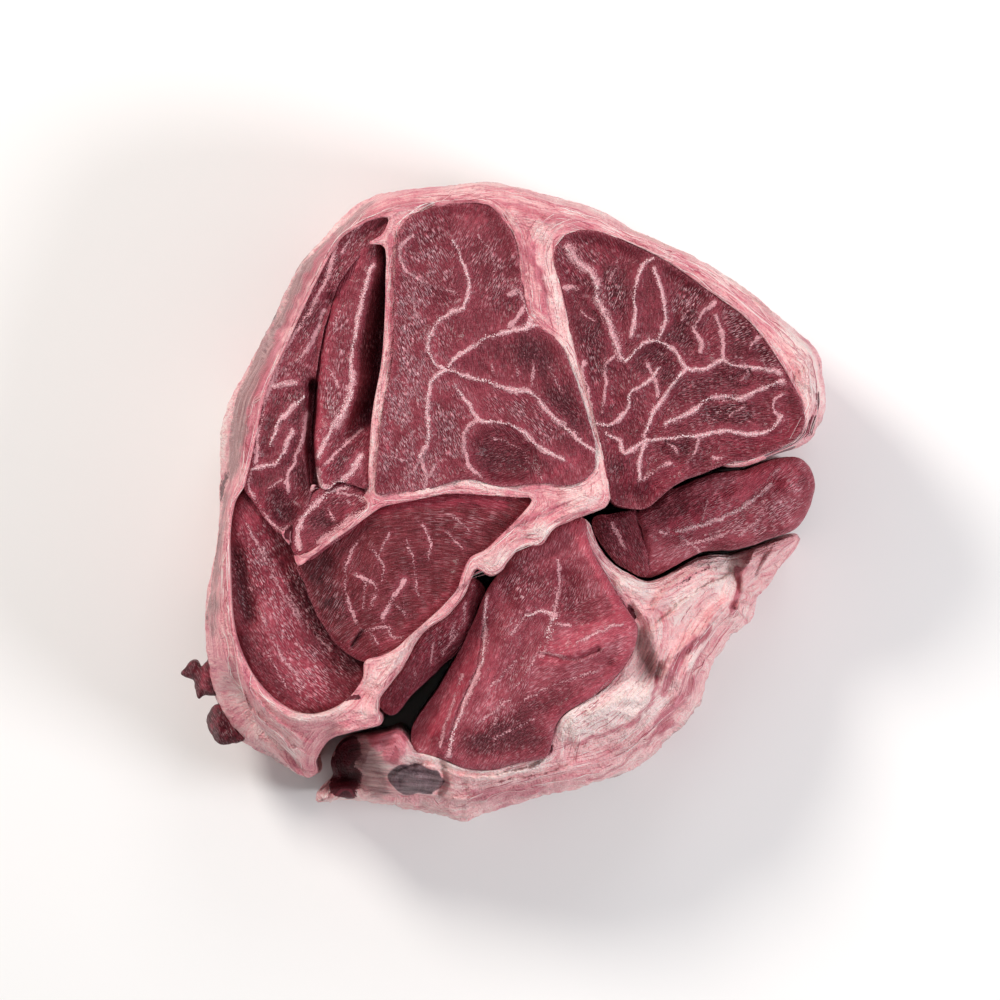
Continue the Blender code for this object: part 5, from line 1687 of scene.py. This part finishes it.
# Torn scraps of lean on the left side, thin at their outer ends
tagFinish = {**leanFinish, "name": "raw_lean_tags", "level": -0.14}
tagShape = {
    "outline": 0.4,
    "face": 0.4,
    "under": 0.7,
    "levels": 25,
    "ragged": 0.3,
    "rough": 0.6,
    "fall": 5,  # of the upper side, out to the tip
    "rise": 7,  # of the lower side
    "rim": (2.5, 1.5),
    "grain": [(-75, -45, 120)],
}
tags = [
    {
        "name": "lean_tag_above", "node": "lean_tag_upper", "seed": 11, "root": -73.5, "low": 20, "high": 36,
        "outline": [
            (-72, -39), (-74, -39), (-77.3, -43), (-78.5, -41.5), (-80.2, -41.8), (-82.4, -44.7),
            (-79.5, -46), (-78.6, -48.5), (-77.8, -51), (-76, -49.8), (-72, -49),
        ],
    },
    {
        "name": "lean_tag_below", "node": "lean_tag_lower", "seed": 12, "root": -72.5, "low": 14, "high": 34,
        "outline": [
            (-71, -53), (-74.6, -53.6), (-75.9, -57), (-74.5, -60.5), (-72.5, -62.6), (-69, -62.4),
            (-66, -61), (-66, -57),
        ],
    },
]


def makeTag(spec, material):
    shape, seed = tagShape, spec["seed"]
    loop = smoothLine(spec["outline"], shape["outline"], closed=True)
    loop = loop if area(loop) > 0 else loop[::-1]
    loop = loop + outward(loop, 2) * (shape["ragged"] * rough(loop, 2.5, 2, seed))[:, None]
    tip = loop[:, 0].min()
    rimReach, rimDrop = shape["rim"]

    def outer(p):
        return np.clip((spec["root"] - p[:, 0]) / (spec["root"] - tip), 0, 1)

    def height(p):
        edge, _ = nearness(p, [loop], 0.3, closed=True)
        z = spec["high"] - shape["fall"] * outer(p) - rimDrop * (1 - np.clip(edge / rimReach, 0, 1)) ** 2
        return z + shape["rough"] * rough(p, 3.5, 2, seed)

    top = height(loop)
    bottom = spec["low"] + shape["rise"] * outer(loop)
    rings = []
    for share in np.linspace(0, 1, shape["levels"] + 1)[1:]:
        z = top + (bottom - top) * share
        push = shape["rough"] * rough(np.column_stack([loop, z]), 5, 2, seed) - 1.2 * ease(share, 0.7, 1.0)
        rings.append(np.column_stack([loop + outward(loop, 2) * push[:, None], z]))
    body = closedBody([loop], [rings], height, shape["face"], shape["under"], seed, shape["grain"])
    under = body["kind"] == 2
    body["points"][under, 2] += spec["low"] + shape["rise"] * outer(body["points"][under])
    fields = dict.fromkeys(leanFields, np.zeros(len(body["points"])))
    patchy = rough(body["points"], 3, 2, seed)
    fields.update({"toneAndShading": patchy - 1.2, "rose": 0.2 + patchy, "glint": fields["glint"] + 0.2})
    makePiece(spec["name"], body, fields, material, [spec["node"]], "lean")


tagMaterial = rawLean(tagFinish)
for spec in tags:
    makeTag(spec, tagMaterial)
print("beef shank: covers and tags done")


# Studio: pale floor, soft lamps and the camera over the cut face
def setStudio():
    scene = bpy.context.scene
    scene.view_settings.view_transform = "Standard"
    world = bpy.data.worlds.new("studio")
    scene.world = world
    world.use_nodes = True
    background = world.node_tree.nodes["Background"]
    background.inputs["Color"].default_value = hexColour(studio["worldColour"])
    background.inputs["Strength"].default_value = studio["world"]

    half = studio["floorSize"] / 2
    corners = [(-half, -half, 0), (half, -half, 0), (half, half, 0), (-half, half, 0)]
    mesh = bpy.data.meshes.new("floor")
    mesh.from_pydata(corners, [], [(0, 1, 2, 3)])
    floor = bpy.data.objects.new("floor", mesh)
    scene.collection.objects.link(floor)
    material, tree = newMaterial("matt_white_board")
    shader = addNode(tree, "BsdfPrincipled", {"Base Color": studio["floorColour"], "Roughness": 0.85})
    addNode(tree, "OutputMaterial", {"Surface": shader})
    mesh.materials.append(material)

    target = Vector((0, 0, 0.05))
    for place, size, watts, colour in studio["lamps"]:
        lamp = bpy.data.lights.new("soft_lamp", "AREA")
        lamp.shape = "DISK"
        lamp.size = size
        lamp.energy = watts
        lamp.color = hexColour(colour)[:3]
        holder = bpy.data.objects.new("soft_lamp", lamp)
        holder.location = place
        holder.rotation_euler = (target - Vector(place)).to_track_quat("-Z", "Y").to_euler()
        scene.collection.objects.link(holder)

    data = bpy.data.cameras.new("camera")
    data.lens = camera["lens"]
    data.sensor_width = camera["sensor"]
    eye = bpy.data.objects.new("camera", data)
    aimX, aimY = np.array(camera["aim"]) - drawnCentre
    eye.location = (aimX * mm, aimY * mm, faceLevel * mm - 0.001 + camera["height"])
    scene.collection.objects.link(eye)
    scene.camera = eye


setStudio()
